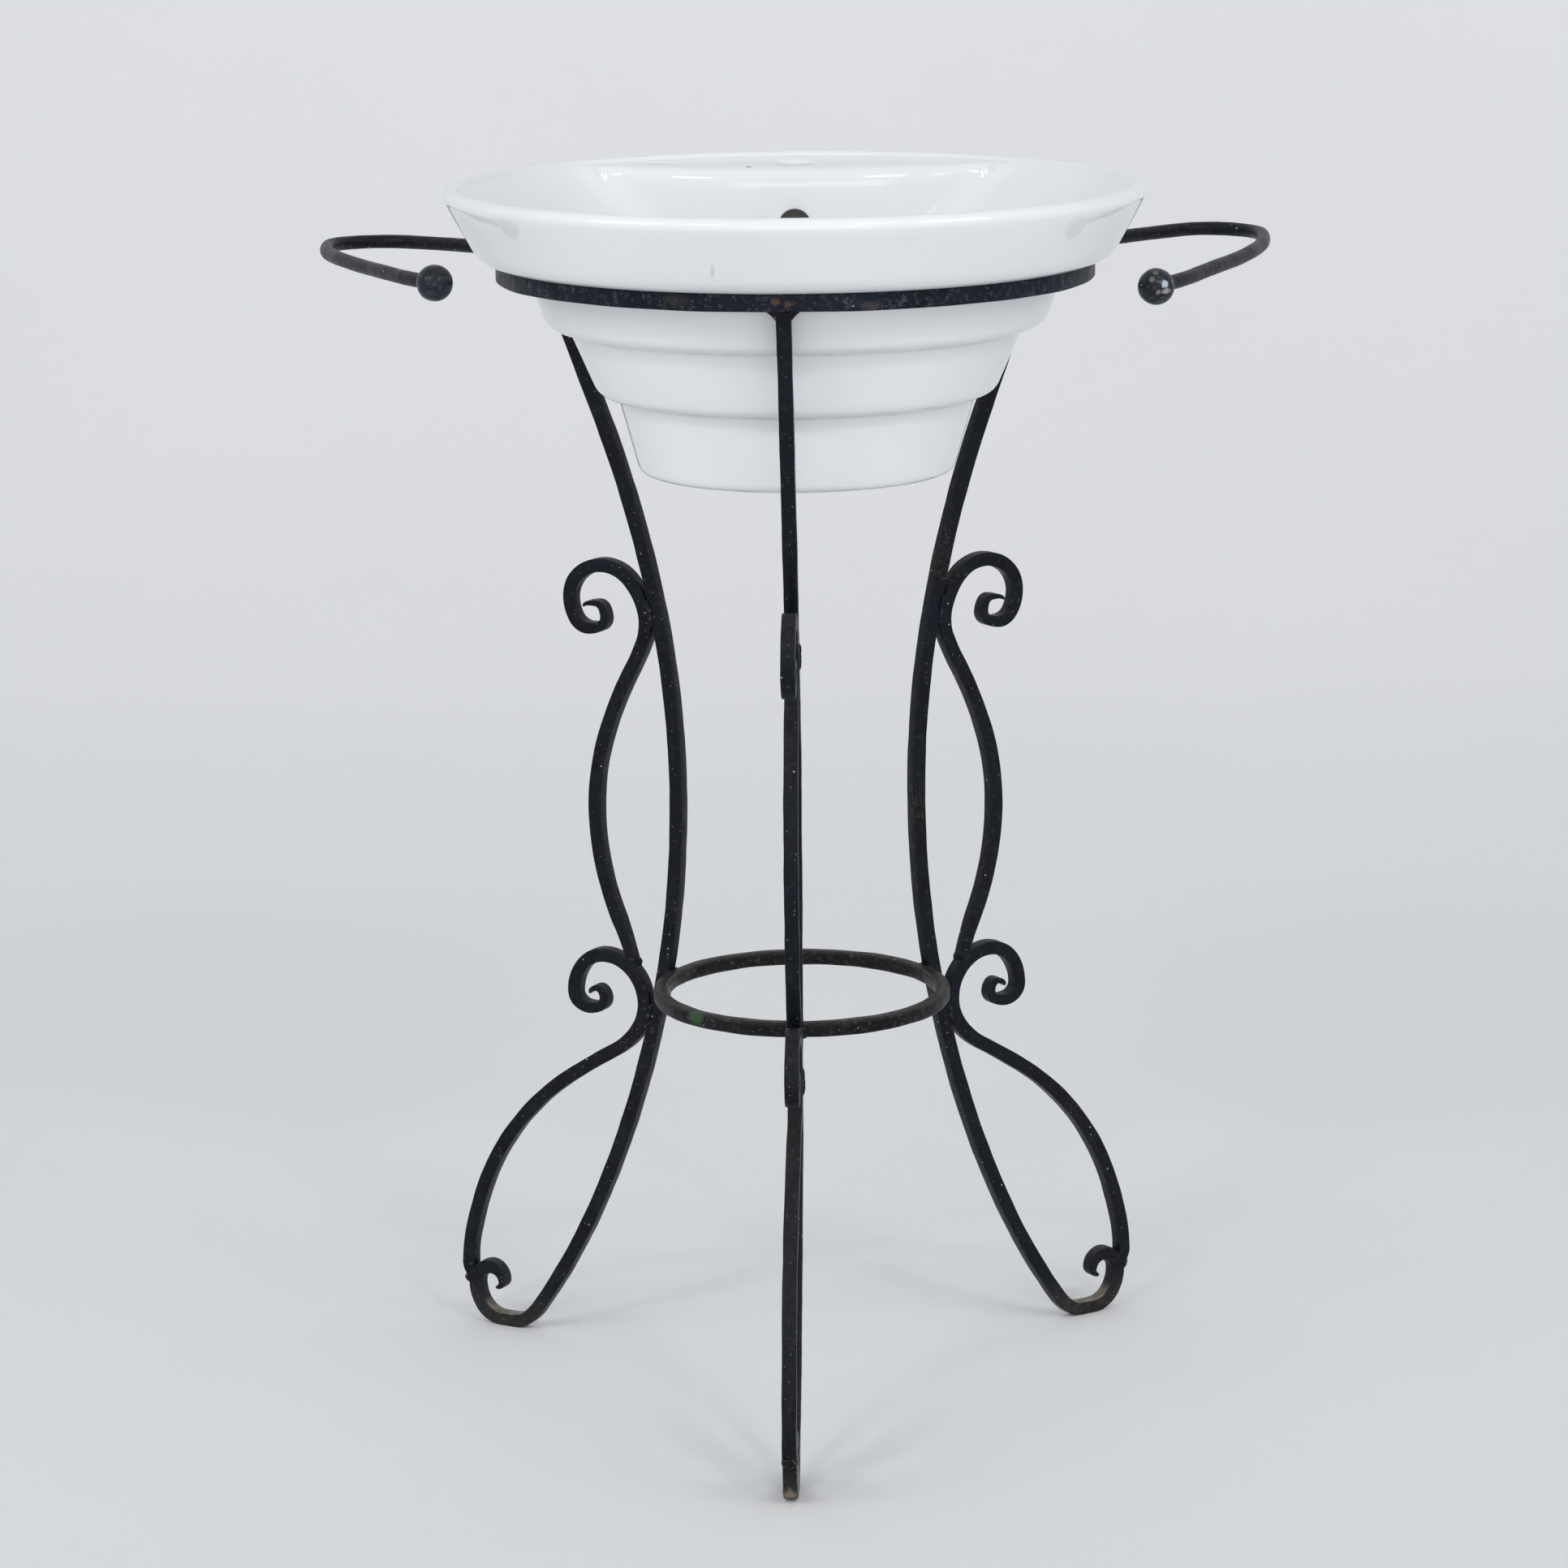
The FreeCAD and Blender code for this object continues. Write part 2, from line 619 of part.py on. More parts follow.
basin_blank = turned_body(
    "basin_blank",
    [
        ("0", FOOT),
        (TIER_THREE_FOOT, FOOT),
        (TIER_THREE_TOP, TIER_THREE),
        (TIER_TWO_FOOT, TIER_THREE),
        (TIER_TWO_TOP, TIER_TWO),
        (TIER_ONE_FOOT, TIER_TWO),
        (TIER_ONE_TOP, "Sizes.seat_height"),
        (CONE_FOOT, "Sizes.seat_height"),
        (RIM_EDGE, RIM),
        (LIP, RIM),
        (LIP + " - 1", DECK),
        ("0", DECK),
    ],
    [
        ((1,), "Sizes.tier_three_round"),
        ((3,), "Sizes.tier_two_round"),
        ((5,), "Sizes.tier_one_round"),
        ((7,), "Sizes.cone_round"),
        ((8,), "Sizes.lip_round"),
        ((9,), "Sizes.lip_inner_round"),
        ((2, 4, 6), "Sizes.crease_round"),
    ],
)

FLOOR_EDGE = LIP + " - 1 - Sizes.bowl_wall_run"
FLOOR = FOOT + " + Sizes.bowl_floor_thickness"
bowl_round = turned_body(
    "bowl_round",
    [("0", FLOOR), (FLOOR_EDGE, FLOOR), (LIP + " - 1", DECK), ("0", DECK)],
    [((1,), "Sizes.bowl_floor_round")],
    {1: "Sizes.bowl_wall_bow"},
)
back_wall_at = value_of(BACK_WALL)
back_centre = back_wall_at + size("back_wall_bow")
deck_level = value_of(DECK)
back_wall = bind(doc.addObject("Part::Cylinder", "back_wall"), Radius="Sizes.back_wall_bow",
                 Height="Sizes.seat_height * 2", Placement__Base__y=BACK_WALL + " + Sizes.back_wall_bow")


def on_back_wall(edge):
    spot = edge.valueAt(sum(edge.ParameterRange) / 2)
    return abs(math.hypot(spot.x, spot.y - back_centre) - size("back_wall_bow")) < 0.01


def below_deck(edge):
    return on_back_wall(edge) and edge.BoundBox.ZMin < deck_level - 0.1


bowl_front = subtract("bowl_front", bowl_round, back_wall)
bowl = rounding("bowl", bowl_front, [(size("back_corner_round"), below_deck)])
hollow = subtract("basin_hollow", basin_blank, bowl)

tap_bore = bind(doc.addObject("Part::Cylinder", "tap_bore"), Radius="Sizes.tap_hole / 2", Height="100",
                Placement__Base__y=BACK_WALL + " + Sizes.tap_offset",
                Placement__Base__z=RIM + " - Sizes.recess_roof - 10")
waste_bore = bind(doc.addObject("Part::Cylinder", "waste_bore"), Radius="Sizes.waste_hole / 2", Height="100",
                  Placement__Base__z=FOOT + " - 10")
waste_seat = bind(doc.addObject("Part::Cylinder", "waste_seat"), Radius="Sizes.waste_seat / 2", Height="50",
                  Placement__Base__z=FLOOR + " - Sizes.waste_seat_depth")
overflow_mouth = doc.addObject("Part::Cylinder", "overflow_mouth")
overflow_mouth.Placement = Placement(Vector(0, 0, 0), Rotation(Vector(1, 0, 0), -90))
bind(overflow_mouth, Radius="Sizes.overflow_hole / 2", Height="Sizes.overflow_mouth + 20",
     Placement__Base__y=BACK_WALL + " - 20", Placement__Base__z=RIM + " - Sizes.overflow_drop")

recess_box = bind(doc.addObject("Part::Box", "recess_box"), Length="Sizes.recess_width",
                  Width="Sizes.top_ring_radius", Height="Sizes.recess_height",
                  Placement__Base__x="-Sizes.recess_width / 2",
                  Placement__Base__y=BACK_WALL + " + Sizes.recess_offset",
                  Placement__Base__z=RIM + " - Sizes.recess_roof - Sizes.recess_height")


def runs_back(edge):
    return abs(edge.tangentAt(edge.FirstParameter).y) > 0.99


recess = rounding("recess", recess_box, [(size("recess_round"), runs_back)])


wall_foot = Vector(value_of(FLOOR_EDGE), value_of(FLOOR), 0)
wall_top = Vector(value_of(LIP) - 1, deck_level, 0)
wall_centre = bow_centre(wall_foot, wall_top, size("bowl_wall_bow"))


def mid_wall(outer, height):
    """Half way between the bowl wall and an outside radius."""
    rise = height - wall_centre.y
    inner = wall_centre.x - math.sqrt(size("bowl_wall_bow")**2 - rise**2)
    return (inner + outer) / 2


# The overflow's duct runs down inside the wall and on under the floor to the waste hole.
duct_top = value_of(TIER_TWO) + 2
duct_foot = value_of(TIER_THREE)
under_floor = value_of(FOOT) + size("bowl_floor_thickness") / 2
duct_line = [
    Vector(0, back_wall_at + 10, value_of(RIM) - size("overflow_drop")),
    Vector(0, (back_wall_at + value_of(TIER_TWO_TOP)) / 2, duct_top),
    Vector(0, mid_wall(value_of(TIER_THREE_TOP), duct_foot), duct_foot),
    Vector(0, value_of(FLOOR_EDGE) + 10, under_floor),
    Vector(0, size("waste_hole") / 2 - 6, under_floor),
]
duct_path = doc.addObject("Part::Feature", "duct_path")
duct_path.Shape = Part.makePolygon(duct_line)
duct = rod("overflow_duct", duct_path, "Sizes.overflow_duct",
           Placement(duct_line[0], Rotation(Vector(0, 0, 1), duct_line[1] - duct_line[0])), "Round corner")

basin = subtract("basin", hollow, tap_bore, waste_bore, waste_seat, overflow_mouth, recess, duct)
node(basin, "basin")

# ---------------------------------------------------------------- weld beads


def bead(name, start, end, share):
    """A round bead laid from one point to another."""
    seam = doc.addObject("Part::Cylinder", name)
    seam.Placement = Placement(start, Rotation(Vector(0, 0, 1), end - start))
    return bind(seam, Radius=f"Sizes.weld_size * {share}", Height=str((end - start).Length))


def slab(name, low, high):
    block = doc.addObject("Part::Box", name)
    extent = high - low
    block.Placement = Placement(low, Rotation())
    block.Length, block.Width, block.Height = extent.x, extent.y, extent.z
    return block


def beads_on_each_leg(label, make):
    """One group of beads on every leg; make builds a leg's beads in that leg's own plane."""
    pieces = []
    for side, azimuth in SIDES:
        for number, piece in enumerate(make(f"{label}_{side}")):
            piece.Placement = Placement(Vector(0, 0, 0), Rotation(Vector(0, 0, 1), azimuth))
            pieces.append(piece)
    node(join(label, *pieces), label)


def leg_width(name):
    return slab(name, Vector(0, -bar / 2, 0), Vector(beyond_all, bar / 2, beyond_all))


def leg_top_beads(name):
    """Corner welds between the leg's flat sides and the underside of the ring, sloped like the leg."""
    made = []
    throat = size("top_weld")
    down = direction(LEG[0][2])
    for side in (-1, 1):
        inner = Vector(leg_top - bar / 2, side * bar / 2, ring_foot)
        outer = inner + Vector(0, side * throat, 0)
        foot_of_weld = inner - down * (throat / down.z)
        corner = doc.addObject("Part::Feature", f"{name}_{side + 1}_corner")
        corner.Shape = Part.Face(Part.makePolygon([inner, outer, foot_of_weld, inner]))
        seam = doc.addObject("Part::Extrusion", f"{name}_{side + 1}_bead")
        seam.Base = corner
        seam.DirMode = "Custom"
        seam.Dir = Vector(1, 0, 0)
        seam.Solid = True
        made.append(bind(seam, LengthFwd="Sizes.bar_size"))
    return made


def lower_ring_beads(name):
    made = []
    outside = size("lower_ring_outside")
    for y in (-bar / 2, bar / 2):
        start = Vector(outside + bar * 0.18, y, level - half * 0.7)
        end = Vector(outside - bar * 0.07, y, level + half * 0.7)
        seam = bead(f"{name}_{y:.0f}_seam".replace("-", "m"), start, end, 0.7)
        band = bind(doc.addObject("Part::Cylinder", seam.Name + "_ring"), Radius="Sizes.lower_ring_outside",
                    Height="Sizes.seat_height * 2")
        made.append(subtract(seam.Name + "_bead", seam, band, leg_width(seam.Name + "_leg")))
    return made


def side_beads(name, centre, angle):
    """Beads over the line where a scroll lies against its leg, one on each flat side."""
    made = []
    contact = centre - left_of(angle) * (bar / 2)
    for y in (-bar / 2, bar / 2):
        start = contact - direction(angle) * bar * 0.9 + Vector(0, y, 0)
        end = contact + direction(angle) * bar * 0.9 + Vector(0, y, 0)
        seam = bead(f"{name}_{y:.0f}_seam".replace("-", "m"), start, end, 0.36)
        made.append(subtract(seam.Name + "_bead", seam, leg_width(seam.Name + "_leg")))
    return made


def end_beads(name, centre, share, *outlines):
    """The bead across the end of a bow, where it lands on the bar below it."""
    seam = bead(name + "_seam", centre + Vector(0, -bar * 0.45, 0), centre + Vector(0, bar * 0.45, 0), share)
    bars = [forged(f"{name}_bar_{number}", face) for number, face in enumerate(outlines)]
    return [subtract(name + "_bead", seam, *bars)]


landing_point = Vector(low_touch.x + low_roll * 0.151, 0, low_touch.z + low_roll * 0.661)
foot_point = Vector(foot + curl + bar / 2, 0, rise * 0.764)
beads_on_each_leg("leg_top_welds", leg_top_beads)
beads_on_each_leg("upper_scroll_welds", lambda name: side_beads(name, touch, slope))
beads_on_each_leg("lower_ring_welds", lower_ring_beads)
beads_on_each_leg("bow_end_welds",
                  lambda name: end_beads(name, landing_point, 1, upper_outline, lower_outline))
beads_on_each_leg("lower_scroll_welds", lambda name: side_beads(name, low_touch, low_slope))
beads_on_each_leg("foot_end_welds",
                  lambda name: end_beads(name, foot_point, 0.9, lower_outline, leg_outline))

arm_beads = []
for side, mirror in (("right", 1), ("left", -1)):
    x, y, heading, _ = arm_stations(mirror)[0]
    way = Vector(math.cos(math.radians(heading)), math.sin(math.radians(heading)), 0)
    collar = bind(doc.addObject("Part::Cone", "arm_collar_" + side), Radius1="Sizes.arm_rod * 0.72",
                  Radius2="Sizes.arm_rod * 0.54", Height="Sizes.arm_rod * 0.9")
    collar.Placement = Placement(Vector(x, y, arm_level - size("arm_rod") * 0.12),
                                 Rotation(Vector(0, 0, 1), way))
    band = bind(doc.addObject("Part::Cylinder", "arm_bead_ring_" + side), Radius="Sizes.top_ring_radius",
                Height="Sizes.seat_height * 2")
    through = arm_rod("arm_bead_rod_" + side, mirror)
    arm_beads.append(subtract("arm_bead_" + side, collar, band, through))
node(join("arm_welds", *arm_beads), "arm_welds")

# ---------------------------------------------------------------- placing, checks and export

# The front foot reaches further forward than the basin reaches back, so the axis lies behind the middle.
doc.recompute()
extents = [piece.Shape.optimalBoundingBox() for piece in NODES]
front = -min(box.YMin for box in extents)
back = max(box.YMax for box in extents)
for piece in NODES:
    piece.Placement = Placement(Vector(0, (front - back) / 2, 0), piece.Placement.Rotation)
doc.recompute()

for item in doc.Objects:
    if "Invalid" in item.State or "Error" in item.State:
        raise RuntimeError(f"{item.Label} does not build: {item.State}")
os.makedirs("parts", exist_ok=True)
for piece in NODES:
    shape = piece.Shape
    if shape.isNull() or not shape.isValid() or not shape.Solids:
        raise RuntimeError(piece.Label + " is not a valid solid")
    shape.exportStep(f"parts/{piece.Label}.step")
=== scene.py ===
"""Wash basin on a forged iron stand, dressed for rendering. Metres, +Z up, front leg towards -Y."""
import math

import bmesh
import bpy
import numpy as np
from mathutils import Matrix, Vector


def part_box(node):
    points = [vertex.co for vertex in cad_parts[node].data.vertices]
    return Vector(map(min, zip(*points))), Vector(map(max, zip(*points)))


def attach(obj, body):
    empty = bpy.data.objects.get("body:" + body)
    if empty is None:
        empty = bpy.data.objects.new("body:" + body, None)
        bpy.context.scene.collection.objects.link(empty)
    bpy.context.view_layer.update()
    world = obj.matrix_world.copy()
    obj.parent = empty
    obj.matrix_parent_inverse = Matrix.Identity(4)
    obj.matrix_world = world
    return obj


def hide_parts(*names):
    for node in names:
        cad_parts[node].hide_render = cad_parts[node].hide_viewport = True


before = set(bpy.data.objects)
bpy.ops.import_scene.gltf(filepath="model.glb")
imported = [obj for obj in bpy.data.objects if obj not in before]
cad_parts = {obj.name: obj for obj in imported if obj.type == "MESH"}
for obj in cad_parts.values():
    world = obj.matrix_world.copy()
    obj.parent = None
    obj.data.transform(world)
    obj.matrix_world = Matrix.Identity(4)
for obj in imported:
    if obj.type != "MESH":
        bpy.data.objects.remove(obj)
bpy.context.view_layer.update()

# ------------------------------------------------------------------------------------------------
# Legs. Three lengths of 10 mm square mild steel bar, bent hot to a slender S, each foot rolled up and
# in on itself. The scale was left on and brushed over with a thin blue-black lacquer: satin, uneven
# where the hammer fell, worn to brown iron along the arrises, with rust freckles and settled dust.
# ------------------------------------------------------------------------------------------------

MM = 0.001
BAR = 10.0
BAR_CORNER = 0.16  # radius of an arris, as a share of half the bar
TIP = 4.0  # length over which a drawn tip is rounded off
RING_MIDDLE, RING_LEVEL, RING_BAR = 203.0, 811.0, 12.0
RING_UNDERSIDE = RING_LEVEL - RING_BAR / 2
LEGS = {"front": -92.3, "right": 31.7, "left": 152.8}  # degrees round the axis from +X

# The ring, the legs and the basin share one upright axis. It lies behind the middle of the outline,
# because the front leg reaches further forward than the basin's back reaches back.
ring_low, ring_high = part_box("top_ring")
AXIS_Y = (ring_low.y + ring_high.y) / 2


def linear(hex_colour):
    """sRGB hex to linear light: c/12.92 below 0.04045, else ((c + 0.055) / 1.055) to the power 2.4."""
    parts = [int(hex_colour[i : i + 2], 16) / 255 for i in (1, 3, 5)]
    return tuple(c / 12.92 if c <= 0.04045 else ((c + 0.055) / 1.055) ** 2.4 for c in parts) + (1.0,)


def add_node(tree, kind, settings=None, stops=(), **inputs):
    """Adds a shader node and returns it.

    settings are its properties and stops a colour ramp's (position, colour or grey) pairs. inputs go by
    socket name, or by i and a number; each is a value, an output socket, or a node for its first output."""
    made = tree.nodes.new("ShaderNode" + kind)
    for name, value in (settings or {}).items():
        setattr(made, name, value)
    for _ in stops[2:]:
        made.color_ramp.elements.new(0.5)
    for number, (place, colour) in enumerate(stops):
        made.color_ramp.elements[number].position = place
        grey = (colour, colour, colour, 1)
        made.color_ramp.elements[number].color = colour if isinstance(colour, tuple) else grey
    for name, value in inputs.items():
        numbered = name[0] == "i" and name[1:].isdigit()
        socket = made.inputs[int(name[1:]) if numbered else name.replace("_", " ")]
        if isinstance(value, bpy.types.Node):
            value = next(output for output in value.outputs if output.enabled)
        if isinstance(value, bpy.types.NodeSocket):
            tree.links.new(value, socket)
        else:
            socket.default_value = value
    return made


def blended(tree, base, mask, colour, strength=1.0):
    """Colour laid over base where the mask is 1, at most by strength."""
    if strength != 1.0:
        mask = add_node(tree, "Math", {"operation": "MULTIPLY"}, i0=mask, i1=strength)
    return add_node(tree, "Mix", {"data_type": "RGBA"}, Factor=mask, A=base, B=linear(colour))


def spot_mask(tree, place, centre, size, soft=0.5, ragged=0.0, grain=600.0):
    """1 within an ellipsoid, fading to 0 at its skin; ragged adds noise to the distance from its centre.

    The centre and half-sizes are in mm, across, back from the stand's axis, and up."""
    middle = (centre[0] * MM, centre[1] * MM + AXIS_Y, centre[2] * MM)
    offset = add_node(tree, "VectorMath", {"operation": "SUBTRACT"}, i0=place, i1=middle)
    scaled = add_node(tree, "VectorMath", {"operation": "DIVIDE"}, i0=offset,
                      i1=tuple(part * MM for part in size))
    far = add_node(tree, "VectorMath", {"operation": "LENGTH"}, i0=scaled)
    if ragged:
        noise = add_node(tree, "TexNoise", Vector=place, Scale=grain, Detail=2.0)
        waver = add_node(tree, "Math", {"operation": "SUBTRACT"}, i0=noise, i1=0.5)
        far = add_node(tree, "Math", {"operation": "MULTIPLY_ADD"}, i0=waver, i1=2 * ragged, i2=far)
    return add_node(tree, "ValToRGB", stops=[(max(0.0, 1 - soft), 1.0), (1.0, 0.0)], Fac=far)


def empty_material(name):
    """A node material with no nodes in it yet."""
    material = bpy.data.materials.new(name)
    material.use_nodes = True
    material.node_tree.nodes.clear()
    return material


def lacquered_iron(name, wear, dust, rust, mottle, marks=(), low_dirt=0.0, shade=("#06090f", "#0b121d"),
                   shine=(0.34, 0.5), specular=0.15):
    """Thin blue-black lacquer brushed over forge scale: satin, and nearly black where nothing lies on it.

    wear, dust, rust, mottle and low_dirt are how much of each shows, from 0 to 1; marks are patches of
    (centre, half-sizes, colour, strength); shade and shine are the pairs of colours and roughnesses
    between which the lacquer wanders; specular is below a clean lacquer's 0.5, because scale and dirt
    dull it. The scale of a noise is its number of marks to the metre."""
    material = empty_material(name)
    tree = material.node_tree
    place = add_node(tree, "TexCoord").outputs["Object"]
    arris = add_node(tree, "Attribute", {"attribute_name": "arris"}).outputs["Fac"]
    facing = add_node(tree, "NewGeometry").outputs["Normal"]
    upward = add_node(tree, "SeparateXYZ", Vector=facing).outputs["Z"]
    height = add_node(tree, "SeparateXYZ", Vector=place).outputs["Z"]

    # brush-out of the lacquer: patches 30 mm across, black to blue-black
    patches = add_node(tree, "TexNoise", Vector=place, Scale=33.0, Detail=3.0, Roughness=0.6)
    colour = add_node(tree, "ValToRGB", stops=[(0.32, linear(shade[0])), (0.68, linear(shade[1]))],
                      Fac=patches)

    # mottled scale showing through, in patches of 2 to 4 mm
    scale_patches = add_node(tree, "TexNoise", Vector=place, Scale=230.0, Detail=4.0, Roughness=0.75,
                             Distortion=0.4)
    scale_mask = add_node(tree, "ValToRGB", stops=[(0.54, 0.0), (0.64, mottle)], Fac=scale_patches)
    colour = blended(tree, colour, scale_mask, "#504e4f")

    # worn arrises: the lacquer is gone in runs of 10 to 40 mm
    runs = add_node(tree, "TexNoise", Vector=place, Scale=70.0, Detail=4.0, Roughness=0.65)
    rubbed = add_node(tree, "Math", {"operation": "MULTIPLY_ADD"}, i0=arris, i1=0.5, i2=runs)
    worn = add_node(tree, "ValToRGB", stops=[(0.88, 0.0), (1.0, wear)], Fac=rubbed)
    colour = blended(tree, colour, worn, "#302d2a")

    # rust freckles 1 to 4 mm across, gathered in clouds 60 mm across
    clouds = add_node(tree, "TexNoise", Vector=place, Scale=17.0, Detail=2.0)
    freckles = add_node(tree, "TexNoise", Vector=place, Scale=420.0, Detail=2.0, Roughness=0.7)
    gathered_rust = add_node(tree, "Math", {"operation": "MULTIPLY_ADD"}, i0=clouds, i1=0.45, i2=freckles)
    rust_mask = add_node(tree, "ValToRGB", stops=[(0.87, 0.0), (0.95, rust)], Fac=gathered_rust)
    colour = blended(tree, colour, rust_mask, "#4c3629")

    # pale specks of dust and plaster: many under half a millimetre, a few of one
    for pitch, near, far, kept, tone in ((330.0, 0.12, 0.2, 0.7, "#6c6c70"),
                                         (120.0, 0.06, 0.1, 0.66, "#a09f9e")):
        specks = add_node(tree, "TexVoronoi", Vector=place, Scale=pitch, Randomness=1.0)
        speck_mask = add_node(tree, "ValToRGB", stops=[(near, 0.85), (far, 0.0)], Fac=specks)
        chosen = add_node(tree, "ValToRGB", stops=[(kept, 0.0), (kept + 0.04, 1.0)],
                          Fac=specks.outputs["Color"])
        here = add_node(tree, "Math", {"operation": "MULTIPLY"}, i0=speck_mask, i1=chosen)
        colour = blended(tree, colour, here, tone)

    # settled dust on what faces up, and floor dirt caught in the lowest 34 mm
    level = add_node(tree, "ValToRGB", stops=[(0.35, 0.0), (0.95, dust)], Fac=upward)
    drift = add_node(tree, "TexNoise", Vector=place, Scale=120.0, Detail=4.0, Roughness=0.7)
    drift_mask = add_node(tree, "ValToRGB", stops=[(0.35, 0.35), (0.65, 1.0)], Fac=drift)
    settled = add_node(tree, "Math", {"operation": "MULTIPLY"}, i0=level, i1=drift_mask)
    colour = blended(tree, colour, settled, "#4d4a45")
    if low_dirt:
        low = add_node(tree, "MapRange", Value=height, From_Min=34 * MM, From_Max=8 * MM, To_Max=low_dirt)
        caught = add_node(tree, "ValToRGB", stops=[(0.45, 0.12), (0.62, 1.0)], Fac=upward)
        dirt = add_node(tree, "Math", {"operation": "MULTIPLY"}, i0=low, i1=caught)
        dirt = add_node(tree, "Math", {"operation": "MULTIPLY"}, i0=dirt, i1=drift_mask)
        colour = blended(tree, colour, dirt, "#8b8375")
    for centre, size, tone, strength in marks:
        patch = spot_mask(tree, place, centre, size, ragged=0.6, grain=480.0)
        colour = blended(tree, colour, patch, tone, strength)

    gloss = add_node(tree, "ValToRGB", stops=[(0.3, shine[0]), (0.7, shine[1])], Fac=patches)
    dull = add_node(tree, "Math", {"operation": "MULTIPLY_ADD"}, i0=rust_mask, i1=0.3, i2=gloss)
    duller = add_node(tree, "Math", {"operation": "MULTIPLY_ADD", "use_clamp": True},
                      i0=settled, i1=0.35, i2=dull)

    # hammer flats 9 mm across, and fire scale 0.8 mm across
    flats = add_node(tree, "TexNoise", Vector=place, Scale=110.0, Detail=1.0)
    fire_scale = add_node(tree, "TexNoise", Vector=place, Scale=1250.0, Detail=3.0, Roughness=0.6)
    rough = add_node(tree, "Bump", Strength=0.25, Distance=0.3 * MM, Height=fire_scale)
    beaten = add_node(tree, "Bump", Strength=0.5, Distance=1.2 * MM, Height=flats, Normal=rough)
    surface = add_node(tree, "BsdfPrincipled", Base_Color=colour, Roughness=duller, Normal=beaten,
                       Specular_IOR_Level=specular)
    add_node(tree, "OutputMaterial", Surface=surface)
    return material


def along_arcs(stations, step=2.5):
    """Points, headings and thickness along a chain of tangent biarcs.

    Between two stations p, q with unit headings u, w the arcs meet at (p + q + d (u - w)) / 2, where d
    solves |q - p|^2 - 2 d (q - p).(u + w) = 2 d^2 (1 - u.w) with both end tangents of length d."""
    points, headings, thick = [], [], []
    for (x0, z0, a0, t0), (x1, z1, a1, t1) in zip(stations[:-1], stations[1:]):
        p, q = np.array([x0, z0], float), np.array([x1, z1], float)
        u = np.array([math.cos(math.radians(a0)), math.sin(math.radians(a0))])
        w = np.array([math.cos(math.radians(a1)), math.sin(math.radians(a1))])
        chord, spread = q - p, 1 - u @ w
        if spread < 1e-9:
            reach = chord @ chord / (4 * (chord @ w))
        else:
            run = chord @ (u + w)
            reach = (-run + math.sqrt(run * run + 2 * spread * (chord @ chord))) / (2 * spread)
        joint = (p + q + reach * (u - w)) / 2
        start, angle = p, a0
        for end, first, last in ((joint, t0, (t0 + t1) / 2), (q, (t0 + t1) / 2, t1)):
            span = end - start
            turn = (math.degrees(math.atan2(span[1], span[0])) - angle + 180) % 360 - 180
            bent, bend = abs(turn) > 1e-6, math.radians(turn)
            length = np.hypot(*span) * (abs(bend) / math.sin(abs(bend)) if bent else 1)
            count = max(2, int(round(length / step)), int(abs(turn) / 3))
            share = (np.arange(count) / count)[:, None]
            # a shorter chord of the same arc: its length goes as sin(turn share) / sin(turn)
            ratio = np.sin(bend * share) / math.sin(bend) if bent else share
            mean = np.radians(angle + turn * share)
            points.append(start + np.hypot(*span) * ratio * np.hstack([np.cos(mean), np.sin(mean)]))
            headings.append(np.radians(angle + 2 * turn * share)[:, 0])
            thick.append((first + (last - first) * share)[:, 0])
            start, angle = end, angle + 2 * turn
    points.append(start[None])
    headings.append(np.radians([angle]))
    thick.append(np.array([stations[-1][3]], float))
    return np.vstack(points), np.concatenate(headings), np.concatenate(thick)


def length_along(points):
    """Distance along a line of points from its first one: the running sum of its steps' lengths."""
    return np.concatenate([[0], np.cumsum(np.hypot(*np.diff(points, axis=0).T))])


def wander(run, seed, reach, pitch):
    """Smooth seeded waviness along a bar: three sines of falling size, the longest one pitch long."""
    rng = np.random.default_rng(seed)
    phases, tilt = rng.uniform(0, 2 * math.pi, 3), rng.uniform(0.7, 1.3, 3)
    waves = [np.sin(2 * math.pi * run / (pitch / (k + 1)) * tilt[k] + phases[k]) / (k + 1)
             for k in range(3)]
    return reach * np.sum(waves, axis=0) / 1.8


def rounded_section(soft, across=5):
    """Square of half side 1 with corners of radius soft, and how near each point is to a corner's middle."""
    turns = np.concatenate([np.linspace(c, c + 90, across) for c in (0, 90, 180, 270)])
    corner = np.repeat([[1, 1], [-1, 1], [-1, -1], [1, -1]], across, axis=0) * (1 - soft)
    outline = corner + soft * np.stack([np.cos(np.radians(turns)), np.sin(np.radians(turns))], 1)
    arris = 1 - np.abs((turns % 90) - 45) / 45
    middles = (outline[across - 1 :: across] + np.roll(outline[::across], -1, axis=0)) / 2
    rows, marks = [], []
    for k in range(4):
        rows += [outline[k * across : (k + 1) * across], middles[k : k + 1]]
        marks += [arris[k * across : (k + 1) * across], [0.0]]
    return np.vstack(rows), np.concatenate(marks)


def tube_faces(rings, around, closed=False):
    """Quads between neighbouring rings of points, and a cap at both ends unless the tube is closed."""
    ring = np.arange(rings if closed else rings - 1)[:, None]
    spot = np.arange(around)[None]
    here, after = ring * around, (ring + 1) % rings * around
    beside = (spot + 1) % around
    faces = np.stack([here + spot, here + beside, after + beside, after + spot], -1).reshape(-1, 4).tolist()
    if not closed:
        faces.append(list(range(around))[::-1])
        faces.append(list(range((rings - 1) * around, rings * around)))
    return faces


def placed(name, data):
    """An object of that mesh, lamp or camera in the scene."""
    made = bpy.data.objects.new(name, data)
    bpy.context.scene.collection.objects.link(made)
    return made


